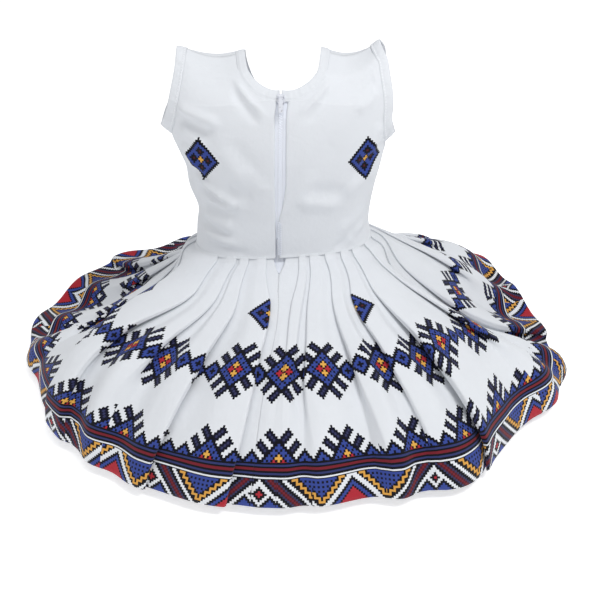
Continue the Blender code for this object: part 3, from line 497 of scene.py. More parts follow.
# Finishes: a noise is its scale and detail, a bump its distance in metres and strength.
# A plain finish is its name, colour, roughness, sheen, noise and bump.
COTTON_ROUGHNESS = 0.9
COTTON_SHEEN = 0.08
MOTTLE_NOISE = (38.0, 3.0)
MOTTLE_SHADE = 0.95
CRUMPLE_NOISE = (150.0, 4.0)
CRUMPLE_RISE = 3.0
THREAD_RISE = 0.16
CRUMPLE_BUMP = (0.0003, 0.55)
PLAIN_FINISHES = (
    ("sewing_thread", "thread_colour", 0.7, 0.2, (2500.0, 1.0), (0.0001, 0.4)),
    ("zip_tape_weave", "tape_colour", 0.8, 0.2, None, (0.0001, 0.5)),
    ("zip_teeth_plastic", "teeth_colour", 0.38, 0.0, (900.0, 2.0), (0.00005, 0.3)),
)
TAPE_PITCH = 0.8
SHEEN_ROUGHNESS = 0.5
SHINE = 0.2
ENAMEL_ROUGHNESS = 0.3
ENAMEL_METAL = 0.25
WEAR_NOISE = (420.0, 4.0)
WEAR_FROM = 0.66
WEAR_SHARE = 0.6
WORN_METAL = (0.55, 0.56, 0.58)
WEAR_BUMP = (0.00006, 0.35)

# Parts of the zip that keep the solid's own form, and their finishes
ZIP_FINISHES = (
    ("zip_tape_left", "zip_tape_weave"),
    ("zip_tape_right", "zip_tape_weave"),
    ("zip_chain", "zip_tape_weave"),
    ("zip_slider", "slider_enamel"),
    ("zip_pull_tab", "slider_enamel"),
)

# Stage: a light is its name, place, size in metres and power in watts
FLOOR_REACH = 6.0
FLOOR_DROP = 0.002
FLOOR_ROUGHNESS = 0.9
FLOOR_GLOW = 0.5
SKY_COLOUR = (0.985, 0.99, 1.0, 1.0)
SKY_STRENGTH = 0.5
WHITE = (1.0, 1.0, 1.0, 1.0)
LIGHTS = (
    ("key light", (0.9, -0.8, 1.8), 0.8, 24.0),
    ("fill light", (-1.7, -1.3, 0.8), 1.4, 3.0),
    ("top light", (-0.2, -0.2, 2.1), 1.6, 10.0),
)
LIGHT_AIM = (0.0, 0.0, -0.2)
CAMERA_PLACE = (0.0177, -1.069, 0.328)
CAMERA_PITCH_DOWN = 30.54
CAMERA_LENS = 63.0
CAMERA_SENSOR = 36.0


def columns(table, names, wanted=None):
    """Named columns of a table as arrays, or all of them."""
    rows = np.array(table, dtype=float)
    return [rows[:, names.index(name)] for name in wanted or names]


def smooth(xs, ys, at, period=None):
    """Read a table with a smooth curve through its rows."""
    xs = np.asarray(xs, dtype=float)
    ys = np.asarray(ys, dtype=float)
    at = np.asarray(at, dtype=float)
    if period:
        xs = np.concatenate([xs[-2:] - period, xs, xs[:2] + period])
        ys = np.concatenate([ys[-2:], ys, ys[:2]])
        at = (at - xs[2]) % period + xs[2]
    at = np.clip(at, xs[0], xs[-1])
    slopes = np.gradient(ys, xs)
    i = np.clip(np.searchsorted(xs, at, side="right") - 1, 0, len(xs) - 2)
    step = xs[i + 1] - xs[i]
    t = (at - xs[i]) / step
    a = (1 + 2 * t) * (1 - t) ** 2 * ys[i] + t * (1 - t) ** 2 * step * slopes[i]
    b = t * t * (3 - 2 * t) * ys[i + 1] + t * t * (t - 1) * step * slopes[i + 1]
    return a + b


def waist_height(azimuth):
    """Height of the waist seam, which dips and rises a little round the dress."""
    angle = np.radians(azimuth)
    return WAIST_RISE + WAIST_RISE_BACK * np.cos(angle) + WAIST_RISE_RIGHT * np.sin(angle)


def torso_sizes(height):
    """Half widths and depths of the torso at a height."""
    heights, left, right, back, front = columns(TORSO, TORSO_COLUMNS)
    return [smooth(heights, values, height) for values in (left, right, back, front)]


def torso_half(height, side):
    """Half width of the torso at a height, on one side."""
    left, right, _, _ = torso_sizes(np.asarray(height))
    return left if side < 0 else right


def waist_radius(azimuth):
    """Distance of the waist seam from the middle."""
    angle = np.radians(azimuth)
    left, right, back, front = torso_sizes(np.array(0.0))
    across = np.where(np.sin(angle) < 0, left, right)
    deep = np.where(np.cos(angle) > 0, back, front)
    n = WAIST_ROUNDNESS
    x_part = np.abs(np.sin(angle) / across) ** n
    y_part = np.abs(np.cos(angle) / deep) ** n
    return (x_part + y_part) ** (-1.0 / n)


def shoulder_top(x):
    """Height of the shoulder line over a place across."""
    out, left, right = columns(SHOULDER, SHOULDER_COLUMNS)
    return np.where(x < 0, smooth(out, left, np.abs(x)), smooth(out, right, np.abs(x)))


def build_profiles():
    """Work out the plain skirt without pleats, for every degree round it."""
    azimuths = np.arange(-180, 181, 1.0)
    shares = np.linspace(0, 1, PROFILE_STEPS)
    bell_out, bell_height, cone_out, cone_height, sooner = columns(PROFILE, PROFILE_COLUMNS)
    hem_at, hem_radius = columns(HEM, HEM_COLUMNS)
    full_at, fullness = columns(FULLNESS, FULLNESS_COLUMNS)
    knots = np.linspace(0, 1, len(PROFILE))
    fine = np.linspace(0, 1, PROFILE_FINE)
    radius = np.zeros((len(azimuths), len(shares)))
    height = np.zeros_like(radius)
    for row, azimuth in enumerate(azimuths):
        turned = np.clip(azimuth * sooner, -180, 180)
        bell = smooth(full_at, fullness, turned, 360)
        out = cone_out + (bell_out - cone_out) * bell
        up = cone_height + (bell_height - cone_height) * bell
        start = float(waist_radius(azimuth))
        rim = float(smooth(hem_at, hem_radius, azimuth, 360))
        top = float(waist_height(azimuth)) + WAIST_ABOVE_HEM
        r = start + (rim - start) * smooth(knots, out, fine)
        z = top * smooth(knots, up, fine) - WAIST_ABOVE_HEM
        run = np.concatenate([[0], np.cumsum(np.hypot(np.diff(r), np.diff(z)))])
        radius[row] = np.interp(shares * run[-1], run, r)
        height[row] = np.interp(shares * run[-1], run, z)
    return shares, radius, height


PROFILES = build_profiles()


def plain_skirt(azimuth, share):
    """Radius and height of the skirt without pleats."""
    shares, radius, height = PROFILES
    a = (np.asarray(azimuth, dtype=float) + 180.0) % 360.0
    i = np.clip(a.astype(int), 0, 359)
    t = a - i
    s = np.clip(np.asarray(share, dtype=float), 0, 1) * (len(shares) - 1)
    j = np.clip(s.astype(int), 0, len(shares) - 2)
    u = s - j

    def read(grid):
        low = grid[i, j] * (1 - t) + grid[i + 1, j] * t
        high = grid[i, j + 1] * (1 - t) + grid[i + 1, j + 1] * t
        return low * (1 - u) + high * u

    return read(radius), read(height)


def per_degree(azimuth, share):
    """Millimetres round the skirt for one degree."""
    radius, _ = plain_skirt(azimuth, share)
    return radius * math.radians(1)


def skirt_point(azimuth, share, level):
    """A point on the skirt, raised off the plain skirt by a level."""
    azimuth = np.asarray(azimuth, dtype=float)
    radius, height = plain_skirt(azimuth, share)
    r0, z0 = plain_skirt(azimuth, share - SLOPE_REACH)
    r1, z1 = plain_skirt(azimuth, share + SLOPE_REACH)
    run_r, run_z = r1 - r0, z1 - z0
    size = np.hypot(run_r, run_z)
    angle = np.radians(azimuth)
    r = radius - level * run_z / size
    z = height + level * run_r / size
    return np.stack([r * np.sin(angle), -r * np.cos(angle), z], axis=-1)


def pleats_at(share):
    """Place, tuck, spread and rise of every pleat on one ring."""
    (waist, upper, middle, hem, top, tuck_waist, tuck_upper, tuck_middle,
     rise_middle, rise_low, rise_hem) = columns(PLEATS, PLEAT_COLUMNS)
    none = np.zeros(len(waist))
    centre = np.array([smooth(PLACE_SHARES, row, share)
                       for row in zip(waist, upper, middle, hem)])
    low = {int(row[0]): row[1:] for row in STAY_FOLDED}
    low = [low.get(pleat, (0, 0, 1, 1)) for pleat in range(len(PLEATS))]
    tuck_low, tuck_hem, open_low, open_hem = np.array(low, dtype=float).T
    tuck = np.array([np.interp(share, PLEAT_SHARES, row) for row in
                     zip(tuck_waist, tuck_upper, tuck_middle, tuck_low, tuck_hem)]) / 2
    rise = np.array([smooth(PLEAT_SHARES, row, share) for row in
                     zip(none + LEAST_RISE, none + UPPER_RISE,
                         rise_middle, rise_low, rise_hem)])
    opened = float(np.interp(share, PLEAT_SHARES, PLEAT_OPENNESS))
    held = np.array([np.interp(share, PLEAT_SHARES, (1, 1, low, low, hem))
                     for low, hem in zip(open_low, open_hem)])
    openness = np.minimum(opened, opened * held)
    wide = float(np.interp(share, PLEAT_SHARES, PLEAT_SPREAD))
    narrow = min(wide, FOLDED_SPREAD)
    spread = narrow + (wide - narrow) * np.where(opened > 0, openness / max(opened, 0.01), 1)
    degree = per_degree(centre, share)
    after = (np.roll(centre, -1) - centre) % 360 * degree
    before = (centre - np.roll(centre, 1)) % 360 * degree
    room = np.minimum(after, before) * GAP_SHARE
    spread = np.minimum(spread, room * SPREAD_SHARE)
    tuck = np.maximum(np.minimum(tuck, room - spread), 0)
    return centre, top, tuck, spread, rise, degree, openness


def pleat_curves(share):
    """Azimuths and levels across every pleat on one ring, one row for each pleat."""
    centre, top, tuck, spread, rise, degree, openness = pleats_at(share)
    spread_at, tuck_at, folded, opened = columns(ACROSS, ACROSS_COLUMNS)
    knots = np.arange(len(ACROSS))
    fine = np.linspace(0, len(ACROSS) - 1, (len(ACROSS) - 1) * ACROSS_FINE + 1)
    level = (smooth(knots, folded, fine)[None] * (1 - openness[:, None])
             + smooth(knots, opened, fine)[None] * openness[:, None])
    along = (smooth(knots, tuck_at, fine)[None] * tuck[:, None]
             + smooth(knots, spread_at, fine)[None] * spread[:, None])
    height = level * rise[:, None]
    right = top < 0
    along[right] = -along[right, ::-1]
    height[right] = height[right, ::-1]
    return centre[:, None] + along / degree[:, None], height


def whole_turns(azimuth, place):
    """Whole turns, in degrees, that bring an azimuth nearest to a place."""
    return 360.0 * round((place - azimuth) / 360.0)


def degrees_between(azimuth, other):
    """Degrees from one azimuth to another, from -180 to 180."""
    return (other - azimuth + 180.0) % 360.0 - 180.0


def seam_azimuth(share, seam, azimuths):
    """Azimuth of a seam down the skirt, kept between the pleats beside it."""
    pleat = pleat_before(seam)
    wanted = float(smooth(PLACE_SHARES, SEAMS[seam], share))
    low = azimuths[pleat][-1]
    high = azimuths[(pleat + 1) % len(PLEATS)][0]
    low += whole_turns(low, wanted)
    high += whole_turns(high, wanted)
    room = (high - low) * SEAM_ROOM
    return min(max(wanted, low + room), high - room)


def pleat_before(seam):
    """Number of the last pleat before a seam."""
    waist, = columns(PLEATS, PLEAT_COLUMNS, ("waist",))
    return int(np.nonzero(waist < SEAMS[seam][0])[0][-1])


def ring_shares():
    """Shares of the skirt's rings, closer together near the waist."""
    return np.linspace(0, 1, RING_COUNT) ** RING_CROWDING


def cloth_run(low, high, low_level, high_level, steps):
    """Azimuths and levels over a panel between two places, with an eased rise."""
    azimuth = low + (high - low) * steps
    level = low_level + (high_level - low_level) * steps * steps * (3 - 2 * steps)
    return azimuth, level


def skirt_row(share, first, last, start, end, gaps):
    """Azimuths, levels and pleats before, for the columns of a strip on one ring."""
    count = len(PLEATS)
    azimuths, levels = pleat_curves(share)
    low = seam_azimuth(share, start, azimuths)
    high = seam_azimuth(share, end, azimuths)
    low += gaps[0](share) / float(per_degree(low, share))
    high -= gaps[1](share) / float(per_degree(high, share))
    inner = np.linspace(0, 1, PANEL_FINE + 2)[1:-1]
    edge = np.linspace(0, 1, EDGE_FINE + 1)
    whole = np.linspace(0, 1, PROFILE_STEPS)
    before, after = (first - 1) % count, first % count
    base = azimuths[before][-1]
    panel = cloth_run(base + whole_turns(base, low),
                      azimuths[after][0] + whole_turns(azimuths[after][0], low),
                      levels[before][-1], levels[after][0], whole)
    values = low + (panel[0][-1] - low) * edge[:-1]
    parts = [(values, np.interp(values, *panel), before)]
    for number in range(first, last + 1):
        k, follow = number % count, (number + 1) % count
        values = azimuths[k] + whole_turns(azimuths[k][0], parts[-1][0][-1])
        middle = len(values) // 2
        parts.append((values[:middle], levels[k][:middle], (k - 1) % count))
        parts.append((values[middle:], levels[k][middle:], k))
        to = azimuths[follow][0]
        to += whole_turns(to, values[-1])
        if to < values[-1]:
            to += 360.0
        ends = values[-1], to, levels[k][-1], levels[follow][0]
        if number < last:
            parts.append((*cloth_run(*ends, inner), k))
    high += whole_turns(high, values[-1] + (to - values[-1]) / 2)
    values = values[-1] + (high - values[-1]) * edge[1:]
    parts.append((values, np.interp(values, *cloth_run(*ends, whole)), k))
    owner = np.concatenate([[part[2]] * len(part[0]) for part in parts])
    azimuth, level = [np.concatenate([part[k] for part in parts]) for k in (0, 1)]
    return azimuth, level, owner


def skirt_strip(start, end, gaps):
    """Azimuths, levels and the number of the pleat before each column of a strip."""
    first, last = pleat_before(start) + 1, pleat_before(end)
    if last < first:
        last += len(PLEATS)
    rows = [skirt_row(share, first, last, start, end, gaps) for share in ring_shares()]
    azimuth, level, owners = zip(*rows)
    return np.array(azimuth), np.array(level), owners[-1]


def soft_bump(distance, width):
    """A soft ridge of height 1 across a distance."""
    return np.exp(-(distance / width) ** 2)


def skirt_crease_levels(azimuth, share):
    """How far the creases raise the skirt's cloth."""
    total = np.zeros_like(azimuth)
    degree = per_degree(azimuth, share)
    for az0, s0, az1, s1, width, rise in SKIRT_CREASES:
        t = (share - s0) / (s1 - s0)
        middle = az0 + (az1 - az0) * t
        away = degrees_between(middle, azimuth)
        along = np.sin(np.clip(t, 0, 1) * math.pi)
        total += rise * along * soft_bump(away * degree, width)
    return total


def run_along(points):
    """Distance along each row of points from its first one."""
    steps = np.linalg.norm(np.diff(points, axis=-2), axis=-1)
    return np.concatenate([np.zeros_like(steps[..., :1]), np.cumsum(steps, axis=-1)], axis=-1)


def print_across(azimuth, share, owner, points):
    """Place of the print round the skirt, for the cloth before and after a column."""
    run = run_along(points)
    repeat = PRINT_CELL * REPEAT_CELLS
    marks = {row[0]: row[1:] for row in PRINT_MARKS}
    shares = share[:, 0]
    blend = np.clip((shares - MIDDLE_ROW_SHARE) / (LOW_ROW_SHARE - MIDDLE_ROW_SHARE), 0, 1)
    before, after = np.zeros_like(run), np.zeros_like(run)
    changes = np.nonzero(np.diff(owner))[0] + 1
    bounds = [0, *changes, len(owner) - 1]
    for low, high in zip(bounds[:-1], bounds[1:]):
        number_mid, at_mid, number_low, at_low = marks[int(owner[low])]
        middle = (low + high) // 2
        offsets = []
        for row_share, number, at in ((MIDDLE_ROW_SHARE, number_mid, at_mid),
                                      (LOW_ROW_SHARE, number_low, at_low)):
            row = int(np.argmin(np.abs(shares - row_share)))
            here = azimuth[row, middle]
            offsets.append(repeat * number
                           + degrees_between(at, here) * float(per_degree(here, row_share)))
        start = offsets[0] * (1 - blend) + offsets[1] * blend
        stretch = run[:, low:high + 1] - run[:, middle:middle + 1] + start[:, None]
        after[:, low:high + 1] = stretch
        before[:, low + 1:high + 1] = stretch[:, 1:]
    before[:, 0] = after[:, 0]
    return before, after


def world(points):
    """Points in metres in the frame, from millimetres above the waist."""
    points = np.asarray(points, dtype=float) * MM
    points[..., 2] -= SHOULDER_HEIGHT * MM
    return points


def grid_normals(grid):
    """Outward directions of a grid of points."""
    down = np.gradient(grid, axis=0)
    across = np.gradient(grid, axis=1)
    normal = np.cross(across, down)
    return normal / np.maximum(np.linalg.norm(normal, axis=-1, keepdims=True), 1e-9)


def shell_mesh(name, grid, normals, thickness, before, after, material, closed=False,
               slit=None):
    """A thin closed shell over a grid, with print coordinates in millimetres.

    A slit is a row and a column: above that row the shell is open between that column
    and the next, and from that row on the two columns are one.
    """
    rows, cols = grid.shape[:2]
    half = np.asarray(thickness, dtype=float) / 2
    if half.ndim:
        half = half[..., None]
    points = np.concatenate([(grid + normals * half).reshape(-1, 3),
                             (grid - normals * half).reshape(-1, 3)])
    index = np.arange(rows * cols).reshape(rows, cols)
    if slit:
        row, column = slit
        index[row:, column + 1] = index[row:, column]
    right = np.roll(index, -1, axis=1)
    span = cols if closed else cols - 1
    shown = np.arange(span) if slit is None else np.delete(np.arange(span), column)
    corners = np.stack([index[:-1, shown], index[1:, shown],
                        right[1:, shown], right[:-1, shown]], axis=-1).reshape(-1, 4)
    count = rows * cols
    left_uv, right_uv = after, np.roll(before, -1, axis=1)
    uv = np.stack([left_uv[:-1, shown], left_uv[1:, shown],
                   right_uv[1:, shown], right_uv[:-1, shown]], axis=2).reshape(-1, 4, 2)
    faces = [corners, corners[:, ::-1] + count]
    uvs = [uv, uv[:, ::-1]]
    if slit:
        edges = [(np.delete(index[-1], column), np.delete(after[-1], column, axis=0), False),
                 (index[0, :column + 1], after[0, :column + 1], True),
                 (index[0, column + 1:], after[0, column + 1:], True),
                 (index[:row + 1, column], before[:row + 1, column], True),
                 (index[:row + 1, column + 1], after[:row + 1, column + 1], False)]
    else:
        loop = [*range(cols), 0] if closed else range(cols)
        edges = [(index[-1, loop], after[-1, loop], False),
                 (index[0, loop], after[0, loop], True)]
    if not closed:
        edges.append((index[:, 0], after[:, 0], False))
        edges.append((index[:, -1], before[:, -1], True))
    for line, line_uv, flip in edges:
        a, b = line[:-1], line[1:]
        uv_a, uv_b = line_uv[:-1], line_uv[1:]
        rim = np.stack([a, b, b + count, a + count], axis=-1)
        rim_uv = np.stack([uv_a, uv_b, uv_b, uv_a], axis=1)
        if not flip:
            rim, rim_uv = rim[:, ::-1], rim_uv[:, ::-1]
        faces.append(rim)
        uvs.append(rim_uv)
    faces = np.concatenate(faces)
    used = np.unique(faces)
    return add_mesh(name, world(points)[used], np.searchsorted(used, faces),
                    np.concatenate(uvs), material)


def add_mesh(name, points, faces, uv, material):
    """Make one named object from points in metres, four-sided faces and their UVs."""
    mesh = bpy.data.meshes.new(name)
    mesh.from_pydata(points.tolist(), [], faces.tolist())
    if uv is not None:
        layer = mesh.uv_layers.new(name="cloth")
        layer.data.foreach_set("uv", uv.reshape(-1).astype(np.float32))
    mesh.materials.append(material)
    mesh.shade_smooth()
    made = bpy.data.objects.new(name, mesh)
    bpy.context.scene.collection.objects.link(made)
    return made


def finish_piece(piece, body, slot, *nodes):
    """Attach a finished piece to the body it moves with, and hide the frame's parts that it
    stands for; the slot it is given is not used.
    """
    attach(piece, body)
    if nodes:
        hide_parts(*nodes)


def arithmetic(operation):
    """A method that puts a Math node over a number and what it is given."""
    def act(self, *others):
        return self.math(operation, *others)
    return act


class Reading:
    """A number inside a material, which takes part in plain arithmetic."""

    def __init__(self, tree, socket):
        self.tree = tree
        self.socket = socket

    def math(self, operation, *others):
        """A Math node over this number and the others."""
        node = self.tree.nodes.new("ShaderNodeMath")
        node.operation = operation
        for place, given in enumerate((self, *others)):
            if isinstance(given, Reading):
                self.tree.links.new(given.socket, node.inputs[place])
            else:
                node.inputs[place].default_value = given
        return Reading(self.tree, node.outputs[0])

    __add__ = arithmetic("ADD")
    __sub__ = arithmetic("SUBTRACT")
    __mul__ = arithmetic("MULTIPLY")
    __lt__ = arithmetic("LESS_THAN")
    __gt__ = arithmetic("GREATER_THAN")
    __abs__ = arithmetic("ABSOLUTE")
    whole = arithmetic("FLOOR")
    most = arithmetic("MAXIMUM")
    least = arithmetic("MINIMUM")

    def wrap(self, low, high):
        """This number brought into a range that repeats."""
        return self.math("WRAP", high, low)

    def near(self, value, reach):
        """1 where this number lies within a reach of a value, and 0 elsewhere."""
        return abs(self - value) < reach

    def off(self):
        """1 where this is 0, and 0 where it is 1."""
        return self.math("LESS_THAN", 0.5)

    def odd(self):
        """1 where this whole number is odd."""
        return abs(self.wrap(-1, 1)) > 0.5


def linear(colour):
    """Scene-linear colour of a display colour given as three shares."""
    return tuple(((c + 0.055) / 1.055) ** 2.4 if c > 0.04045 else c / 12.92 for c in colour)


def painted(under, mask, colour):
    """Colour where a mask is 1, over what lies under it."""
    tree = mask.tree
    node = tree.nodes.new("ShaderNodeMix")
    node.data_type = "RGBA"
    tree.links.new(mask.socket, node.inputs["Factor"])
    for place, given in ((6, under), (7, colour)):
        if isinstance(given, bpy.types.NodeSocket):
            tree.links.new(given, node.inputs[place])
        else:
            node.inputs[place].default_value = (*given, 1.0)
    return node.outputs[2]


def painted_layers(colour, inks, *layers):
    """Layers of ink over a colour, each given as its ink and its mask."""
    for ink, mask in layers:
        colour = painted(colour, mask, inks[ink])
    return colour


def either(masks):
    """1 where any of several masks is 1."""
    first, *others = masks
    for mask in others:
        first = first.most(mask)
    return first


def motif_row(colour, x, y, links_x, shown, inks):
    """Square motifs with bars, and pairs of small squares that link them.

    Here and below, the numbers are cells of the print counted from a motif's middle.
    """
    p, q = x + y, y - x
    reach = abs(p).most(abs(q))
    bars, edges, threads = [], [], []
    for along, side in ((p, q), (q, p)):
        turned = side * along.math("SIGN")
        away = abs(turned - 7).least(abs(turned + 1))
        bar = (away < 2.5) * (abs(along) < 17.5) * (abs(along) > 9.5)
        bars.append(bar)
        edges.append(bar * (away > 1.5).most(abs(along) > 16.5))
        threads.append(bar * (away < 0.5) * (abs(along) < 16))
    small = abs(abs(links_x - 16) - 4) + abs(y)
    ring = (reach > 4.5) * (reach < 7.5) * shown
    middle = (reach < 3.5) * shown
    return painted_layers(
        colour, inks,
        ("navy", either(bars) * shown),
        ("black", either(edges) * shown),
        ("fleck", either(threads) * shown),
        ("black", (small < 5.5) * shown),
        ("blue", (small < 3.5) * (small > 1.5) * shown),
        ("black", (reach < 9.5) * shown),
        ("blue", ring),
        ("black", ring * reach.near(6, 0.5) * x.odd()),
        ("red", middle * (abs(abs(x) - 2) + abs(y) < 1.5)),
        ("yellow", middle * (abs(x) + abs(abs(y) - 2) < 1.5)))


def sparse_diamond(colour, x, y, inks):
    """A lone diamond with four dark petals round a yellow centre."""
    reach = abs(x) + abs(y)
    petal = (abs(abs(x) - 4) + abs(y)).least(abs(x) + abs(abs(y) - 4))
    return painted_layers(
        colour, inks,
        ("black", reach < 10.5),
        ("blue", reach < 8.5),
        ("black", (reach < 8.5) * (petal < 2.5)),
        ("black", (reach < 2.5) * (reach > 1.5)),
        ("maroon", petal < 0.5),
        ("yellow", reach < 1.5))


def zigzag(row, slope, start):
    """A line of stitches that climbs in steps of two cells."""
    wide = slope.near(start, 1.5) * row.odd().off()
    return wide.most(slope.near(start, 0.5) * row.odd())


def low_border(colour, x, y, shown, inks):
    """Chevrons and dotted triangles along the hem."""
    row = y * -1 - BORDER_CELL
    a = abs(x)
    left = (a < 25.5) * shown
    right = left.off() * shown
    outward = a - row
    inward = a * -1 + BORDER_HALF - row
    triangle = shown * (outward > 17.5) * (inward > 7.5)
    edging = (left * zigzag(row, outward, 15)).most(right * zigzag(row, inward, 5))
    small = a + abs(row - 6)
    lines = either((left * outward.near(10.5, 1), left * outward.near(-0.5, 1),
                    left * small.near(4.5, 1) * (outward < 0.5),
                    right * inward.near(1, 1.5)))
    threads = outward.near(3, 0.5).most(outward.near(7, 0.5))
    return painted_layers(
        colour, inks,
        ("black", shown),
        ("blue", triangle),
        ("black", triangle * x.odd().off() * row.odd()),
        ("orange", edging * (row < 10.5)),
        ("white", lines),
        ("maroon", left * outward.near(5, 1.5)),
        ("stripe_red", left * outward.near(5, 0.5)),
        ("fleck", left * threads),
        ("red", left * (small < 1.5)),
        ("blue", left * (row - abs(a - 5) > 8.5)),
        ("blue", right * inward.near(-3.5, 1)),
        ("red", right * (inward < -5.5)))


def split_vector(tree, vector):
    """The three numbers of a vector."""
    split = tree.nodes.new("ShaderNodeSeparateXYZ")
    tree.links.new(vector, split.inputs[0])
    return [Reading(tree, output) for output in split.outputs]


def cloth_coordinates(tree):
    """The cloth's own coordinates, in millimetres."""
    node = tree.nodes.new("ShaderNodeUVMap")
    node.uv_map = "cloth"
    return split_vector(tree, node.outputs["UV"])[:2]


def new_material(name, roughness, sheen=0.0, metallic=0.0):
    """An empty shader with its plain values set on its own sockets."""
    material = bpy.data.materials.new(name)
    material.use_nodes = True
    tree = material.node_tree
    shader = tree.nodes["Principled BSDF"]
    for socket, value in (("Roughness", roughness), ("Metallic", metallic),
                          ("Sheen Weight", sheen), ("Sheen Roughness", SHEEN_ROUGHNESS),
                          ("Specular IOR Level", SHINE)):
        shader.inputs[socket].default_value = value
    return tree, shader


def noise(tree, scale, detail):
    """A noise reading over the object."""
    node = tree.nodes.new("ShaderNodeTexNoise")
    node.inputs["Scale"].default_value = scale
    node.inputs["Detail"].default_value = detail
    place = tree.nodes.new("ShaderNodeTexCoord")
    tree.links.new(place.outputs["Object"], node.inputs["Vector"])
    return Reading(tree, node.outputs["Fac"])


def weave(u, v, pitch):
    """Height of a plain weave: threads that pass over and under each other."""
    turn = 2 * math.pi / pitch
    warp = (u * turn).math("SINE")
    weft = (v * turn).math("SINE")
    over = ((u * (turn / 2)).math("SINE") * (v * (turn / 2)).math("SINE")).math("SIGN")
    return warp * (over * 0.5 + 0.5) + weft * (over * -0.5 + 0.5)


def bumped(shader, height, distance, strength):
    """Raise a shader's surface by a height."""
    tree = height.tree
    bump = tree.nodes.new("ShaderNodeBump")
    bump.inputs["Distance"].default_value = distance
    bump.inputs["Strength"].default_value = strength
    tree.links.new(height.socket, bump.inputs["Height"])
    tree.links.new(bump.outputs["Normal"], shader.inputs["Normal"])


def cotton_material(sizes, name, chart=None):
    """White cotton with a plain weave, and a chart painted on it where one is given."""
    tree, shader = new_material(name, COTTON_ROUGHNESS, sheen=COTTON_SHEEN)
    u, v = cloth_coordinates(tree)
    cotton = linear(sizes.cotton_colour)
    shaded = [share * MOTTLE_SHADE for share in cotton]
    colour = painted(shaded, noise(tree, *MOTTLE_NOISE), cotton)
    if chart:
        inks = {ink: linear(getattr(sizes, ink + "_ink")) for ink in INKS}
        colour = chart(colour, u, v, inks | {"white": cotton})
    tree.links.new(colour, shader.inputs["Base Color"])
    threads = weave(u, v, sizes.weave_pitch / MM) * THREAD_RISE
    bumped(shader, noise(tree, *CRUMPLE_NOISE) * CRUMPLE_RISE + threads, *CRUMPLE_BUMP)


def in_cells(place, middle, size):
    """The number of the cell of the print at a place, counted from a middle."""
    return ((place - middle) * (1 / size) + 0.5).whole()


def skirt_chart(colour, u, v, inks):
    """The border print of the skirt."""
    x = in_cells(u, 0, PRINT_CELL)
    y = in_cells(v, LOW_ROW_HEIGHT, PRINT_CELL_HEIGHT)
    row_y = y - (y > MIDDLE_ROW_CELL / 2) * MIDDLE_ROW_CELL
    half = REPEAT_CELLS / 2
    shown = (y > -0.5) * (y < MIDDLE_ROW_CELL + MOTIF_REACH)
    colour = motif_row(colour, x.wrap(-half, half), row_y, x.wrap(0, REPEAT_CELLS), shown,
                       inks)
    sparse_u = (u - SPARSE_FIRST).wrap(-SPARSE_SPACING / 2, SPARSE_SPACING / 2)
    colour = sparse_diamond(colour, in_cells(sparse_u, 0, PRINT_CELL), y - SPARSE_ROW_CELL,
                            inks)
    colour = painted_layers(colour, inks, *[(ink, (v > low) * (v < high))
                                            for low, high, ink in STRIPES])
    border_x = (x + BORDER_SHIFT).wrap(-BORDER_HALF, BORDER_HALF)
    return low_border(colour, border_x, y, y < 0.5 - BORDER_CELL, inks)


def bodice_chart(colour, u, v, inks):
    """The lone diamonds of the bodice."""
    middle = (u > 0) * (BODICE_DIAMOND_RIGHT - BODICE_DIAMOND_LEFT) + BODICE_DIAMOND_LEFT
    return sparse_diamond(colour, in_cells(u, middle, PRINT_CELL),
                          in_cells(v, BODICE_DIAMOND_HEIGHT, PRINT_CELL_HEIGHT), inks)


def materials(sizes):
    """The dress's finishes, made once."""
    made = bpy.data.materials
    if "printed_cotton_cloth" not in made:
        cotton_material(sizes, "printed_cotton_cloth", skirt_chart)
        cotton_material(sizes, "white_cotton_cloth", bodice_chart)
        cotton_material(sizes, "white_band_cloth")
        for name, colour, roughness, sheen, grain, bump in PLAIN_FINISHES:
            tree, shader = new_material(name, roughness, sheen)
            shader.inputs["Base Color"].default_value = (*linear(getattr(sizes, colour)), 1.0)
            height = noise(tree, *grain) if grain else tape_weave(tree)
            bumped(shader, height, *bump)
        enamel_material(sizes)
    return made


def tape_weave(tree):
    """Weave of the zip's tapes, over the object itself."""
    place = tree.nodes.new("ShaderNodeTexCoord")
    across, _, up = split_vector(tree, place.outputs["Object"])
    return weave(across * (1 / MM), up * (1 / MM), TAPE_PITCH)


def enamel_material(sizes):
    """White enamel over the metal of the slider and its pull tab."""
    tree, shader = new_material("slider_enamel", ENAMEL_ROUGHNESS, metallic=ENAMEL_METAL)
    worn = noise(tree, *WEAR_NOISE)
    colour = painted(linear(sizes.enamel_colour), (worn > WEAR_FROM) * WEAR_SHARE,
                     linear(WORN_METAL))
    tree.links.new(colour, shader.inputs["Base Color"])
    bumped(shader, worn, *WEAR_BUMP)


def length_setting(name, description, default, least, most):
    """A length in metres, shown in the panel."""
    return bpy.props.FloatProperty(name=name, description=description, default=default,
                                   min=least, max=most, subtype="DISTANCE", unit="LENGTH")


def colour_setting(name, description, *default):
    """A display colour, shown in the panel."""
    return bpy.props.FloatVectorProperty(name=name, description=description,
                                         default=default, size=3, min=0, max=1,
                                         subtype="COLOR_GAMMA")


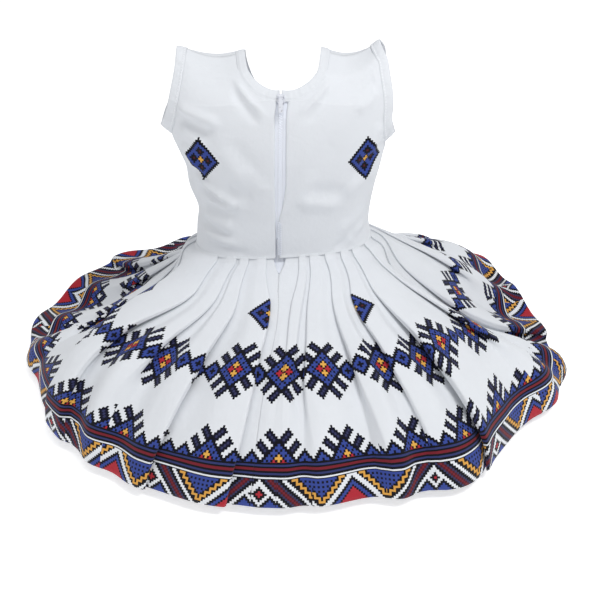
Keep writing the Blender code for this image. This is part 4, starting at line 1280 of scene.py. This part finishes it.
class DressSizes(bpy.types.PropertyGroup):
    """Sizes and colours that change the look of the dress."""

    cloth_thickness: length_setting("Cloth thickness", "Thickness of the cloth",
                                    0.0008, 0.0003, 0.0015)
    band_thickness: length_setting("Band thickness", "Thickness of the folded bands",
                                   0.0015, 0.0006, 0.003)
    weave_pitch: length_setting("Weave pitch", "Distance between threads on top",
                                0.0007, 0.0003, 0.002)
    stitch_length: length_setting("Stitch length", "Length of one topstitch",
                                  0.0023, 0.001, 0.005)
    stitch_gap: length_setting("Stitch gap", "Space between two topstitches",
                               0.0008, 0.0002, 0.003)
    thread_radius: length_setting("Thread radius", "Half the thread's thickness",
                                  0.00024, 0.0001, 0.0006)
    crease_strength: bpy.props.FloatProperty(
        name="Crease strength", description="How strongly the creases show",
        default=1.0, min=0.0, max=2.0, subtype="FACTOR")
    cotton_colour: colour_setting("Cotton", "Colour of the plain cotton", 0.868, 0.88, 0.898)
    black_ink: colour_setting("Black", "Outlines of the print", 0.015, 0.015, 0.06)
    navy_ink: colour_setting("Navy", "Bars of the print", 0.05, 0.055, 0.15)
    fleck_ink: colour_setting("Fleck", "Flecks in the dark bars", 0.19, 0.2, 0.34)
    blue_ink: colour_setting("Blue", "Bright blue of the print", 0.2, 0.27, 0.56)
    red_ink: colour_setting("Red", "Red of the motifs", 0.66, 0.15, 0.2)
    yellow_ink: colour_setting("Yellow", "Yellow of the motifs", 0.86, 0.65, 0.3)
    orange_ink: colour_setting("Orange", "Zigzag of the low border", 0.83, 0.61, 0.28)
    maroon_ink: colour_setting("Maroon", "Cores of the petals", 0.3, 0.08, 0.12)
    stripe_blue_ink: colour_setting("Stripe blue", "Blue of the stripes", 0.18, 0.21, 0.4)
    stripe_red_ink: colour_setting("Stripe red", "Red of the stripes", 0.44, 0.11, 0.16)
    thread_colour: colour_setting("Thread", "Colour of the sewing thread", 0.95, 0.955, 0.97)
    tape_colour: colour_setting("Tape", "Colour of the zip's tape", 0.9, 0.915, 0.95)
    teeth_colour: colour_setting("Teeth", "Colour of the zip's teeth", 0.9, 0.915, 0.95)
    enamel_colour: colour_setting("Enamel", "Colour of the slider and its tab", 0.86, 0.87, 0.9)
    floor_colour: colour_setting("Floor", "Colour of the studio floor", 0.96, 0.96, 0.96)


def skirt_panel(name, start, end, gaps, sizes):
    """One panel of the pleated skirt as a thin shell."""
    azimuth, level, owner = skirt_strip(start, end, gaps)
    share = np.repeat(ring_shares()[:, None], azimuth.shape[1], axis=1)
    points = skirt_point(azimuth, share, level)
    before, after = print_across(azimuth, share, owner, points)
    level = level + skirt_crease_levels(azimuth, share) * sizes.crease_strength
    grid = skirt_point(azimuth, share, level)
    up = (1 - share) * SKIRT_CLOTH_LENGTH
    piece = shell_mesh(name + "_cloth", grid, grid_normals(grid), sizes.cloth_thickness / MM,
                       np.stack([before, up], axis=-1), np.stack([after, up], axis=-1),
                       materials(sizes)["printed_cotton_cloth"])
    finish_piece(piece, "dress", "printed_cotton", name)
    return grid


def zip_slot(share):
    """Half width of the opening that the end of the zip shows in."""
    return float(np.interp(share, (0, ZIP_TAIL_SHARE), (ZIP_OPENING, BACK_SEAM_GAP)))


def closed_seam(share):
    """Half width of a sewn seam's gap."""
    return SEAM_GAP


def shoulder_climb(x, height):
    """How far a height has climbed over the shoulder, from 0 to 1."""
    return np.clip((height - SHOULDER_START) / (shoulder_top(x) - SHOULDER_START), 0, 1)


def climb_of(x, height):
    """Climb of a place: 0 to 1 up to the shoulder's start, then 1 to 2 over it."""
    top = shoulder_top(x)
    over = (height - SHOULDER_START) / (top - SHOULDER_START)
    if over <= 0:
        return height / SHOULDER_START
    return 1 + math.asin(min(1.0, over)) / (math.pi / 2)


def height_of(x, climb):
    """Height over a place across at a climb."""
    top = shoulder_top(x)
    over = SHOULDER_START + (top - SHOULDER_START) * np.sin((climb - 1) * math.pi / 2)
    return np.where(climb <= 1, climb * SHOULDER_START, over)


def torso_point(x, height, front):
    """Point of the bodice over a place across, at a height, on the back or front."""
    left, right, back_depth, front_depth = torso_sizes(height)
    half = np.where(x < 0, left, right)
    deep = front_depth if front else back_depth
    share_out = np.clip(np.abs(x) / half, 0, 1)
    n = TORSO_ROUNDNESS
    round_off = (1 - share_out ** n) ** (1 / n)
    climb = shoulder_climb(x, height)
    y = np.maximum(deep * round_off * np.sqrt(1 - climb * climb), LEAST_DEPTH)
    if not front:
        y = -y
    return np.stack([x + 0 * y, y, height + 0 * y], axis=-1)


def bodice_row(inner, outer, side, front, steps):
    """Row of points over the torso between two places given as across and height."""
    n = TORSO_ROUNDNESS
    angles, climbs = [], []
    for out, height in (inner, outer):
        share = min(1.0, abs(out) / float(torso_half(height, side)))
        angles.append(math.copysign(math.asin(share ** (n / 2)), out))
        climbs.append(climb_of(side * abs(out), height))
    t = np.linspace(0, 1, steps)
    angle = angles[0] + (angles[1] - angles[0]) * t
    climb = climbs[0] + (climbs[1] - climbs[0]) * t
    share = np.sign(angle) * np.abs(np.sin(angle)) ** (2 / n)
    x = side * share * WAIST_HALF
    for _ in range(ROW_PASSES):
        height = height_of(x, climb)
        x = side * share * torso_half(height, side)
    deep = torso_sizes(height)[3 if front else 2]
    over = shoulder_climb(x, height)
    y = deep * np.abs(np.cos(angle)) ** (2 / n) * np.sqrt(1 - over * over)
    y = np.maximum(y, LEAST_DEPTH)
    return np.stack([x, y if front else -y, height], axis=-1)


def zip_across(height):
    """Where the zip's middle runs at a height."""
    heights, across = columns(ZIP_LINE, ZIP_COLUMNS)
    return float(smooth(heights, across, height))


def opening_edge(height, side):
    """Distance out, on one side, of the back's folded edge beside the zip."""
    heights, left, right = columns(ZIP_LAP, LAP_COLUMNS)
    lap = float(smooth(heights, left if side < 0 else right, height))
    return side * zip_across(height) + ZIP_OPENING - lap


def read_along(table, names, wanted, picks):
    """Read named columns of a table along its rows, between them too."""
    positions = np.arange(len(table))
    return [smooth(positions, values, picks) for values in columns(table, names, wanted)]


def neck_along(front, wanted):
    """Named columns of the neckline's table at the picked rows of the bodice."""
    if front:
        return read_along(NECK_FRONT, NECK_COLUMNS, wanted, NECK_FRONT_PICKS)
    return read_along(NECK_BACK, NECK_COLUMNS, wanted, NECK_BACK_PICKS)


def armhole_along(side, wanted):
    """Named columns of an armhole's table at the picked rows of the bodice."""
    table = ARMHOLE_LEFT if side < 0 else ARMHOLE_RIGHT
    return read_along(table, ARMHOLE_COLUMNS, wanted, ARMHOLE_PICKS[::-1])


def bodice_half(side, front):
    """Grid for one half of the bodice, from its middle to the side and armhole."""
    arm_out, arm_height = armhole_along(side, ("seam_out", "seam_height"))
    outer = [(float(torso_half(height, side)), height) for height in LOWER_HEIGHTS]
    outer.extend(zip(arm_out, arm_height))
    neck_out, neck_height = neck_along(front, ("seam_out", "seam_height"))
    heights = list(LOWER_HEIGHTS)
    plain = len(arm_out) - len(neck_out)
    heights += list(np.linspace(arm_height[0], float(neck_height[0]), plain + 1)[:-1])
    inner = [(0.0 if front else opening_edge(height, side), height) for height in heights]
    inner.extend(zip(neck_out, neck_height))
    rows = [bodice_row(i, o, side, front, BODICE_STEPS) for i, o in zip(inner, outer)]
    grid = np.array(rows)
    grid[-1, :, 2] = shoulder_top(grid[-1, :, 0])
    grid[-1, :, 1] = LEAST_DEPTH if front else -LEAST_DEPTH
    azimuth = np.degrees(np.arctan2(grid[0, :, 0], -grid[0, :, 1]))
    fade = np.clip(1 - grid[:, :1, 2] / WAIST_FADE, 0, 1)
    grid[:, :, 2] += waist_height(azimuth)[None, :] * fade
    return grid


def finer(grid, axis, steps):
    """More points along one axis of a grid, on smooth curves through its points."""
    grid = np.moveaxis(grid, axis, 0)
    knots = np.arange(len(grid))
    fine = np.linspace(0, len(grid) - 1, (len(grid) - 1) * steps + 1)
    flat = grid.reshape(len(grid), -1)
    made = np.stack([smooth(knots, flat[:, k], fine) for k in range(flat.shape[1])], axis=-1)
    return np.moveaxis(made.reshape((len(fine),) + grid.shape[1:]), 0, axis)


def crease_heights(panel, across, height):
    """How far the creases raise one panel of the bodice."""
    total = np.zeros_like(across)
    for x0, z0, x1, z1, width, rise in BODICE_CREASES[panel]:
        run_x, run_z = x1 - x0, z1 - z0
        size = math.hypot(run_x, run_z)
        t = ((across - x0) * run_x + (height - z0) * run_z) / size ** 2
        away = ((across - x0) * run_z - (height - z0) * run_x) / size
        along = soft_bump(np.clip(np.abs(t - 0.5) - CREASE_HALF, 0, None), CREASE_END)
        total += rise * along * soft_bump(away, width)
    return total


def with_lip(grid):
    """A grid whose lowest row, which is its last, is turned out over the skirt's top."""
    outward = grid[-1] * np.array((1.0, 1.0, 0.0))
    outward /= np.linalg.norm(outward, axis=-1, keepdims=True)
    rows = [grid[-1] + outward * out - np.array((0.0, 0.0, down)) for out, down in LIP]
    return np.concatenate([grid[:-1], rows])


def with_turned_edge(grid):
    """A half of the back whose edge beside the zip, its first column, is turned in."""
    inward = grid[:, 0] - grid[:, 1]
    inward /= np.linalg.norm(inward, axis=-1, keepdims=True)
    rows = (len(NECK_BACK_PICKS) - 1) * BODICE_ROW_FINE
    strength = np.ones(len(grid))
    strength[-rows:] = TURNED_AT_NECK
    strength = strength[:, None]
    down = np.array((0.0, 1.0, 0.0))
    added = [grid[:, 0] + (inward * out + down * deep) * strength for out, deep in TURNED_EDGE]
    return np.concatenate([np.stack(added, axis=1), grid], axis=1)


def fine_half(halves, side, front):
    """One half of the bodice with all its points."""
    return finer(finer(halves[side, front], 0, BODICE_ROW_FINE), 1, BODICE_COLUMN_FINE)


def creased(grid, normals, panel, across, sizes):
    """A grid of the bodice with its panel's creases."""
    raised = crease_heights(panel, across, grid[:, :, 2]) * sizes.crease_strength
    fade = np.clip((shoulder_top(grid[:, :, 0]) - grid[:, :, 2]) / SHOULDER_FADE, 0, 1)
    return grid + normals * (raised * fade)[..., None]


def bodice_shell(name, grid, normals, across, sizes, slit=None):
    """One panel of the bodice as a thin shell."""
    uv = np.stack([across, grid[:, :, 2]], axis=-1)
    piece = shell_mesh(name + "_cloth", grid, normals, sizes.cloth_thickness / MM, uv, uv,
                       materials(sizes)["white_cotton_cloth"], slit=slit)
    finish_piece(piece, "dress", "white_cotton", name)


def bodice_back(name, grid, panel, sizes):
    """One of the two backs, with its creases."""
    grid = with_lip(grid)
    run = run_along(grid)
    middle = np.argmin(np.abs(grid[:, :, 0]), axis=1)
    base = run[np.arange(len(grid)), middle] - grid[np.arange(len(grid)), middle, 0]
    across = run - base[:, None]
    grid = creased(grid, grid_normals(grid), panel, across, sizes)
    bodice_shell(name, grid, grid_normals(grid), across, sizes)
    return grid


def band_piece(name, seam, edge, sizes, closed):
    """A folded band as a shell that is thicker in its middle and rounded at its edge."""
    t = np.linspace(0, 1, BAND_ROWS)
    grid = seam[None] * (1 - t)[:, None, None] + edge[None] * t[:, None, None]
    wide = np.concatenate([grid[:, -1:], grid, grid[:, :1]], axis=1) if closed else grid
    normals = grid_normals(wide)
    if closed:
        normals = normals[:, 1:-1]
    arch = np.sin(np.clip(t * BAND_SWELL_REACH, 0, 1) * math.pi) ** 0.5
    swell = BAND_LEAST + BAND_SWELL * arch
    swell[-1] = BAND_EDGE
    ridge = sum(rise * soft_bump(t - place, width) for rise, place, width in BAND_RIDGES)
    run = run_along(grid[0])
    quick, slow = PUCKER_RATES
    pucker = PUCKER_RISE * np.sin(run * quick) * np.sin(run * slow + PUCKER_SHIFT)
    raised = ridge[:, None] + pucker[None, :] * np.sin(t * math.pi)[:, None]
    outward = grid + normals * raised[..., None]
    thickness = np.repeat((sizes.band_thickness / MM * swell)[:, None], grid.shape[1], axis=1)
    width = np.linalg.norm(edge - seam, axis=1)
    uv = np.stack([np.repeat(run[None], BAND_ROWS, axis=0), t[:, None] * width[None]],
                  axis=-1)
    piece = shell_mesh(name + "_cloth", outward, normals, thickness, uv, uv,
                       materials(sizes)["white_band_cloth"], closed)
    finish_piece(piece, "dress", "white_band", name)
    return outward, normals


def dense_loop(points, steps, closed):
    """More points along a line, on a smooth curve through its points."""
    points = np.asarray(points)
    if closed:
        points = np.concatenate([points[-2:], points, points[:3]])
    fine = finer(points[:, None], 0, steps)[:, 0]
    if closed:
        fine = fine[2 * steps:-2 * steps - 1]
    return fine


def armhole_loops(side, halves):
    """Seam and edge of one armhole's band."""
    edge_out, edge_height = armhole_along(side, ("edge_out", "edge_height"))
    loops = []
    for front in (False, True):
        seam = halves[side, front][len(LOWER_HEIGHTS):, -1].copy()
        seam[[0, -1], 1] = 0.0
        edge = np.stack([side * edge_out, seam[:, 1] * ARMHOLE_EDGE_DEPTH, edge_height],
                        axis=-1)
        loops.append((seam, edge))
    back, front = loops
    return [np.concatenate([b, f[::-1][1:-1]]) for b, f in zip(back, front)]


def neck_quarter(halves, side, front):
    """Seam and edge points of the neck band over one quarter, upwards."""
    out, height = neck_along(front, ("edge_out", "edge_height"))
    seam = halves[side, front][-len(out):, 0].copy()
    x = side * out
    edge = torso_point(x, np.minimum(height, shoulder_top(x)), front)
    seam[-1, 1] = edge[-1, 1] = 0.0
    edge[-1, 2] = shoulder_top(x[-1])
    if not front:
        x = np.array([zip_across(ZIP_TOP) + side * NECK_OPENING] * 2)
        start = torso_point(x, np.array([seam[0, 2], edge[0, 2]]), False)
        seam = np.concatenate([start[:1], seam])
        edge = np.concatenate([start[1:], edge])
    return seam, edge


def thread_line(points, normals, sizes, lift):
    """Points and faces of short thread stitches along a line."""
    run = run_along(points)
    step = (sizes.stitch_length + sizes.stitch_gap) / MM
    starts = np.arange(0.5 * step, run[-1] - step, step)
    at = starts[:, None] + (STITCH_SHARES * sizes.stitch_length / MM)[None]
    middle = np.stack([np.interp(at, run, points[:, k]) for k in range(3)], axis=-1)
    out = np.stack([np.interp(at, run, normals[:, k]) for k in range(3)], axis=-1)
    out /= np.linalg.norm(out, axis=-1, keepdims=True)
    along = np.gradient(middle, axis=1)
    along /= np.linalg.norm(along, axis=-1, keepdims=True)
    across = np.cross(along, out)
    middle = middle + out * (lift + STITCH_DIPS)[None, :, None]
    return tubes(middle, out, across, STITCH_RADII * sizes.thread_radius / MM)


def tubes(middle, out, across, radii):
    """Points and faces of many short tubes, given their ring middles and directions."""
    turn = np.arange(THREAD_SIDES) * 2 * math.pi / THREAD_SIDES
    ring = (np.cos(turn)[None, None, :, None] * out[:, :, None]
            + np.sin(turn)[None, None, :, None] * across[:, :, None])
    points = middle[:, :, None] + ring * radii[None, :, None, None]
    count, rings = middle.shape[:2]
    index = np.arange(count * rings * THREAD_SIDES).reshape(count, rings, THREAD_SIDES)
    follow = np.roll(index, -1, axis=2)
    walls = np.stack([index[:, :-1], follow[:, :-1], follow[:, 1:], index[:, 1:]], axis=-1)
    faces = [walls.reshape(-1, 4)]
    for ring_index, order in ((0, (3, 2, 1, 0)), (-1, (0, 1, 2, 3))):
        ends = index[:, ring_index]
        faces.append(ends[:, [0, 1, 2, 3]][:, list(order)])
        faces.append(ends[:, [3, 4, 5, 0]][:, list(order)])
    return points.reshape(-1, 3), np.concatenate(faces)


def joined(parts):
    """One list of points and faces from several."""
    points, faces, count = [], [], 0
    for part_points, part_faces in parts:
        points.append(part_points)
        faces.append(part_faces + count)
        count += len(part_points)
    return np.concatenate(points), np.concatenate(faces)


# Panels of the skirt: the seams that they start and end at, the gaps there, and how
# much of the cut shows
SKIRT_PANELS = (
    ("skirt_back_left", "left", "back", (closed_seam, zip_slot), (0.5, 0.3)),
    ("skirt_back_right", "back", "right", (zip_slot, closed_seam), (0.53, 0.3)),
    ("skirt_front", "right", "left", (closed_seam, closed_seam), (1.02, 0.3)),
)
WORK = {}


class SkirtMaker(bpy.types.Operator):
    """Make the three panels of the pleated skirt"""

    bl_idname = "dress.skirt"
    bl_label = "Pleated skirt"

    def execute(self, context):
        sizes = context.scene.dress_sizes
        for name, start, end, gaps, flat in SKIRT_PANELS:
            WORK[name] = skirt_panel(name, start, end, gaps, sizes)
        return {"FINISHED"}


class BodiceMaker(bpy.types.Operator):
    """Make the front and the two backs of the bodice"""

    bl_idname = "dress.bodice"
    bl_label = "Bodice"

    def execute(self, context):
        sizes = context.scene.dress_sizes
        halves = {(side, front): bodice_half(side, front)
                  for side in (-1, 1) for front in (False, True)}
        WORK["halves"] = halves
        for name, side, panel in (("bodice_back_left", -1, "back_left"),
                                  ("bodice_back_right", 1, "back_right")):
            grid = with_turned_edge(fine_half(halves, side, False))
            if side < 0:
                grid = grid[:, ::-1]
            WORK[name] = bodice_back(name, grid[::-1], panel, sizes)
        self.make_front(halves, sizes)
        return {"FINISHED"}

    def make_front(self, halves, sizes):
        """The front is two halves that are one up to the neckline."""
        grids, spans, normals = [], [], []
        for side in (1, -1):
            half = fine_half(halves, side, True)
            half = np.concatenate([with_lip(half[:1])[::-1], half[1:]])
            across = half[:, :1, 0] + side * run_along(half)
            if side > 0:
                half, across = half[:, ::-1], across[:, ::-1]
            grids.append(half)
            spans.append(across)
            normals.append(grid_normals(half))
        middle = grids[0].shape[1] - 1
        grid, across, normals = [np.concatenate(pair, axis=1)
                                 for pair in (grids, spans, normals)]
        grid = creased(grid, normals, "front", across, sizes)
        neck = len(LOWER_HEIGHTS) * BODICE_ROW_FINE + len(LIP) - 1
        bodice_shell("bodice_front", grid[::-1], normals[::-1], across[::-1],
                     sizes, slit=(len(grid) - 1 - neck, middle))


class BandMaker(bpy.types.Operator):
    """Make the bands round the neck and the armholes"""

    bl_idname = "dress.bands"
    bl_label = "Bands"

    def execute(self, context):
        sizes = context.scene.dress_sizes
        halves = WORK["halves"]
        for name, side in (("armhole_band_left", -1), ("armhole_band_right", 1)):
            seam, edge = armhole_loops(side, halves)
            seam, edge = dense_loop(seam, BAND_FINE, True), dense_loop(edge, BAND_FINE, True)
            if side > 0:
                seam, edge = seam[::-1], edge[::-1]
            WORK[name] = band_piece(name, seam, edge, sizes, True)
        quarters = [neck_quarter(halves, side, front)
                    for side, front in ((1, False), (1, True), (-1, True), (-1, False))]
        a, b, c, d = quarters
        seam, edge = [np.concatenate([a[k], b[k][::-1][1:], c[k][1:], d[k][::-1][1:]])
                      for k in (0, 1)]
        seam, edge = dense_loop(seam, BAND_FINE, False), dense_loop(edge, BAND_FINE, False)
        WORK["neck_band"] = band_piece("neck_band", seam[::-1], edge[::-1], sizes, False)
        return {"FINISHED"}


class StitchMaker(bpy.types.Operator):
    """Make the topstitching of the bands, the zip and the hem"""

    bl_idname = "dress.stitches"
    bl_label = "Topstitching"

    def execute(self, context):
        sizes = context.scene.dress_sizes
        cloth_lift = sizes.cloth_thickness / MM * CLOTH_STITCH_LIFT
        lines = []
        for name in ("armhole_band_left", "armhole_band_right", "neck_band"):
            grid, normals = WORK[name]
            lines.append((grid[BAND_STITCH_ROW], normals[BAND_STITCH_ROW],
                          sizes.band_thickness / MM * BAND_STITCH_LIFT))
        for name in ("skirt_back_left", "skirt_back_right", "skirt_front"):
            grid = WORK[name]
            lines.append((grid[HEM_STITCH_ROW], grid_normals(grid)[HEM_STITCH_ROW],
                          cloth_lift))
        column = ZIP_STITCH_COLUMN + len(TURNED_EDGE)
        rows = slice(len(NECK_BACK_PICKS) * BODICE_ROW_FINE - 2, None)
        for name, place in (("bodice_back_left", -1 - column), ("bodice_back_right", column)):
            grid = WORK[name]
            lines.append((grid[rows, place], grid_normals(grid)[rows, place], cloth_lift))
        parts = [thread_line(line, normals, sizes, lift) for line, normals, lift in lines]
        points, faces = joined(parts)
        piece = add_mesh("topstitching", world(points), faces, None,
                         materials(sizes)["sewing_thread"])
        finish_piece(piece, "dress", "white_band")
        return {"FINISHED"}


class ZipMaker(bpy.types.Operator):
    """Make the zip's teeth and give its tapes and slider their finishes"""

    bl_idname = "dress.zip"
    bl_label = "Zip"

    def execute(self, context):
        sizes = context.scene.dress_sizes
        made = materials(sizes)
        heights = np.arange(TOOTH_HEIGHTS[0], TOOTH_HEIGHTS[1], TOOTH_PITCH)
        middles, outs, acrosses = [], [], []
        for number, height in enumerate(heights):
            side = -1 if number % 2 else 1
            x = zip_across(height) + side * TOOTH_OUT
            here = torso_point(np.array([x]), np.array([height]), False)[0]
            above = torso_point(np.array([x]), np.array([height + TOOTH_SLOPE_REACH]),
                                False)[0]
            here[2] += float(waist_height(0.0)) * max(0.0, 1 - height / WAIST_FADE)
            up = (above - here) * np.array((0.0, 1.0, 1.0))
            up /= np.linalg.norm(up)
            out = np.array((0.0, -up[2], up[1]))
            centre = here - out * TOOTH_SINK
            middles.append([centre + np.array((end, 0, 0)) for end in TOOTH_ENDS])
            outs.append([out] * len(TOOTH_ENDS))
            acrosses.append([up] * len(TOOTH_ENDS))
        points, faces = tubes(np.array(middles), np.array(outs), np.array(acrosses),
                              TOOTH_RADII)
        teeth = add_mesh("zip_teeth", world(points), faces, None, made["zip_teeth_plastic"])
        finish_piece(teeth, "dress", "zip_plastic")
        for name, material in ZIP_FINISHES:
            frame["nodes"][name].material_slots[0].material = made[material]
        return {"FINISHED"}


class StageMaker(bpy.types.Operator):
    """Make the floor, the soft studio light and the camera"""

    bl_idname = "dress.stage"
    bl_label = "Stage"

    def execute(self, context):
        sizes = context.scene.dress_sizes
        lowest = min(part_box(name)[0].z for name in
                     ("skirt_front", "skirt_back_left", "skirt_back_right"))
        self.make_floor(sizes, lowest - FLOOR_DROP)
        self.make_lights(context)
        self.make_world(context)
        camera = bpy.data.cameras.new("photo camera")
        camera.lens = CAMERA_LENS
        camera.sensor_width = CAMERA_SENSOR
        turn = (math.radians(90 - CAMERA_PITCH_DOWN), 0, 0)
        context.scene.camera = self.put(context, camera, CAMERA_PLACE, turn)
        return {"FINISHED"}

    def put(self, context, data, place, turn):
        """Put a light or a camera in the scene."""
        placed = bpy.data.objects.new(data.name, data)
        placed.location = place
        placed.rotation_euler = turn
        context.scene.collection.objects.link(placed)
        return placed

    def make_floor(self, sizes, height):
        """A plain pale floor under the hem."""
        corners = np.array([(x * FLOOR_REACH, y * FLOOR_REACH, height)
                            for x, y in ((-1, -1), (1, -1), (1, 1), (-1, 1))])
        _, shader = new_material("studio_floor", FLOOR_ROUGHNESS)
        shader.inputs["Base Color"].default_value = (*linear(sizes.floor_colour), 1.0)
        shader.inputs["Emission Color"].default_value = WHITE
        shader.inputs["Emission Strength"].default_value = FLOOR_GLOW
        floor = add_mesh("studio_floor", corners, np.array([[0, 1, 2, 3]]), None,
                         bpy.data.materials["studio_floor"])

    def make_lights(self, context):
        """Large soft lights from the right, the left and above."""
        for name, place, size, power in LIGHTS:
            light = bpy.data.lights.new(name, "AREA")
            light.shape = "DISK"
            light.size = size
            light.energy = power
            aim = Vector(LIGHT_AIM) - Vector(place)
            self.put(context, light, place, aim.to_track_quat("-Z", "Y").to_euler())

    def make_world(self, context):
        """Even light from all round."""
        sky = bpy.data.worlds.new("studio air")
        sky.use_nodes = True
        tree = sky.node_tree
        air = tree.nodes["Background"]
        air.inputs["Color"].default_value = SKY_COLOUR
        air.inputs["Strength"].default_value = SKY_STRENGTH
        seen = tree.nodes.new("ShaderNodeBackground")
        seen.inputs["Color"].default_value = WHITE
        path = tree.nodes.new("ShaderNodeLightPath")
        mixed = tree.nodes.new("ShaderNodeMixShader")
        tree.links.new(path.outputs["Is Camera Ray"], mixed.inputs[0])
        tree.links.new(air.outputs[0], mixed.inputs[1])
        tree.links.new(seen.outputs[0], mixed.inputs[2])
        tree.links.new(mixed.outputs[0], tree.nodes["World Output"].inputs["Surface"])
        context.scene.world = sky
        context.scene.view_settings.view_transform = "Standard"


class DressPanel(bpy.types.Panel):
    """List the pieces of the dress"""

    bl_idname = "VIEW3D_PT_dress"
    bl_label = "Summer Dress"
    bl_space_type = "VIEW_3D"
    bl_region_type = "UI"
    bl_category = "Dress"

    def draw(self, context):
        sizes = context.scene.dress_sizes
        for name in sizes.__annotations__:
            self.layout.prop(sizes, name)
        for maker in MAKERS:
            self.layout.operator(maker.bl_idname)


MAKERS = (SkirtMaker, BodiceMaker, BandMaker, StitchMaker, ZipMaker, StageMaker)


def register():
    """Add the dress's sizes, operators and panel to Blender."""
    bpy.utils.register_class(DressSizes)
    bpy.types.Scene.dress_sizes = bpy.props.PointerProperty(type=DressSizes)
    for maker in MAKERS:
        bpy.utils.register_class(maker)
    bpy.utils.register_class(DressPanel)


def unregister():
    """Take the dress's sizes, operators and panel out of Blender."""
    bpy.utils.unregister_class(DressPanel)
    for maker in reversed(MAKERS):
        bpy.utils.unregister_class(maker)
    del bpy.types.Scene.dress_sizes
    bpy.utils.unregister_class(DressSizes)


def main():
    """Make the whole scene."""
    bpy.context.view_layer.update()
    for old in [o for o in bpy.data.objects if o.type in ("LIGHT", "CAMERA")]:
        bpy.data.objects.remove(old, do_unlink=True)
    register()
    bpy.ops.dress.skirt()
    bpy.ops.dress.bodice()
    bpy.ops.dress.bands()
    bpy.ops.dress.stitches()
    bpy.ops.dress.zip()
    bpy.ops.dress.stage()


if __name__ == "__main__":
    main()
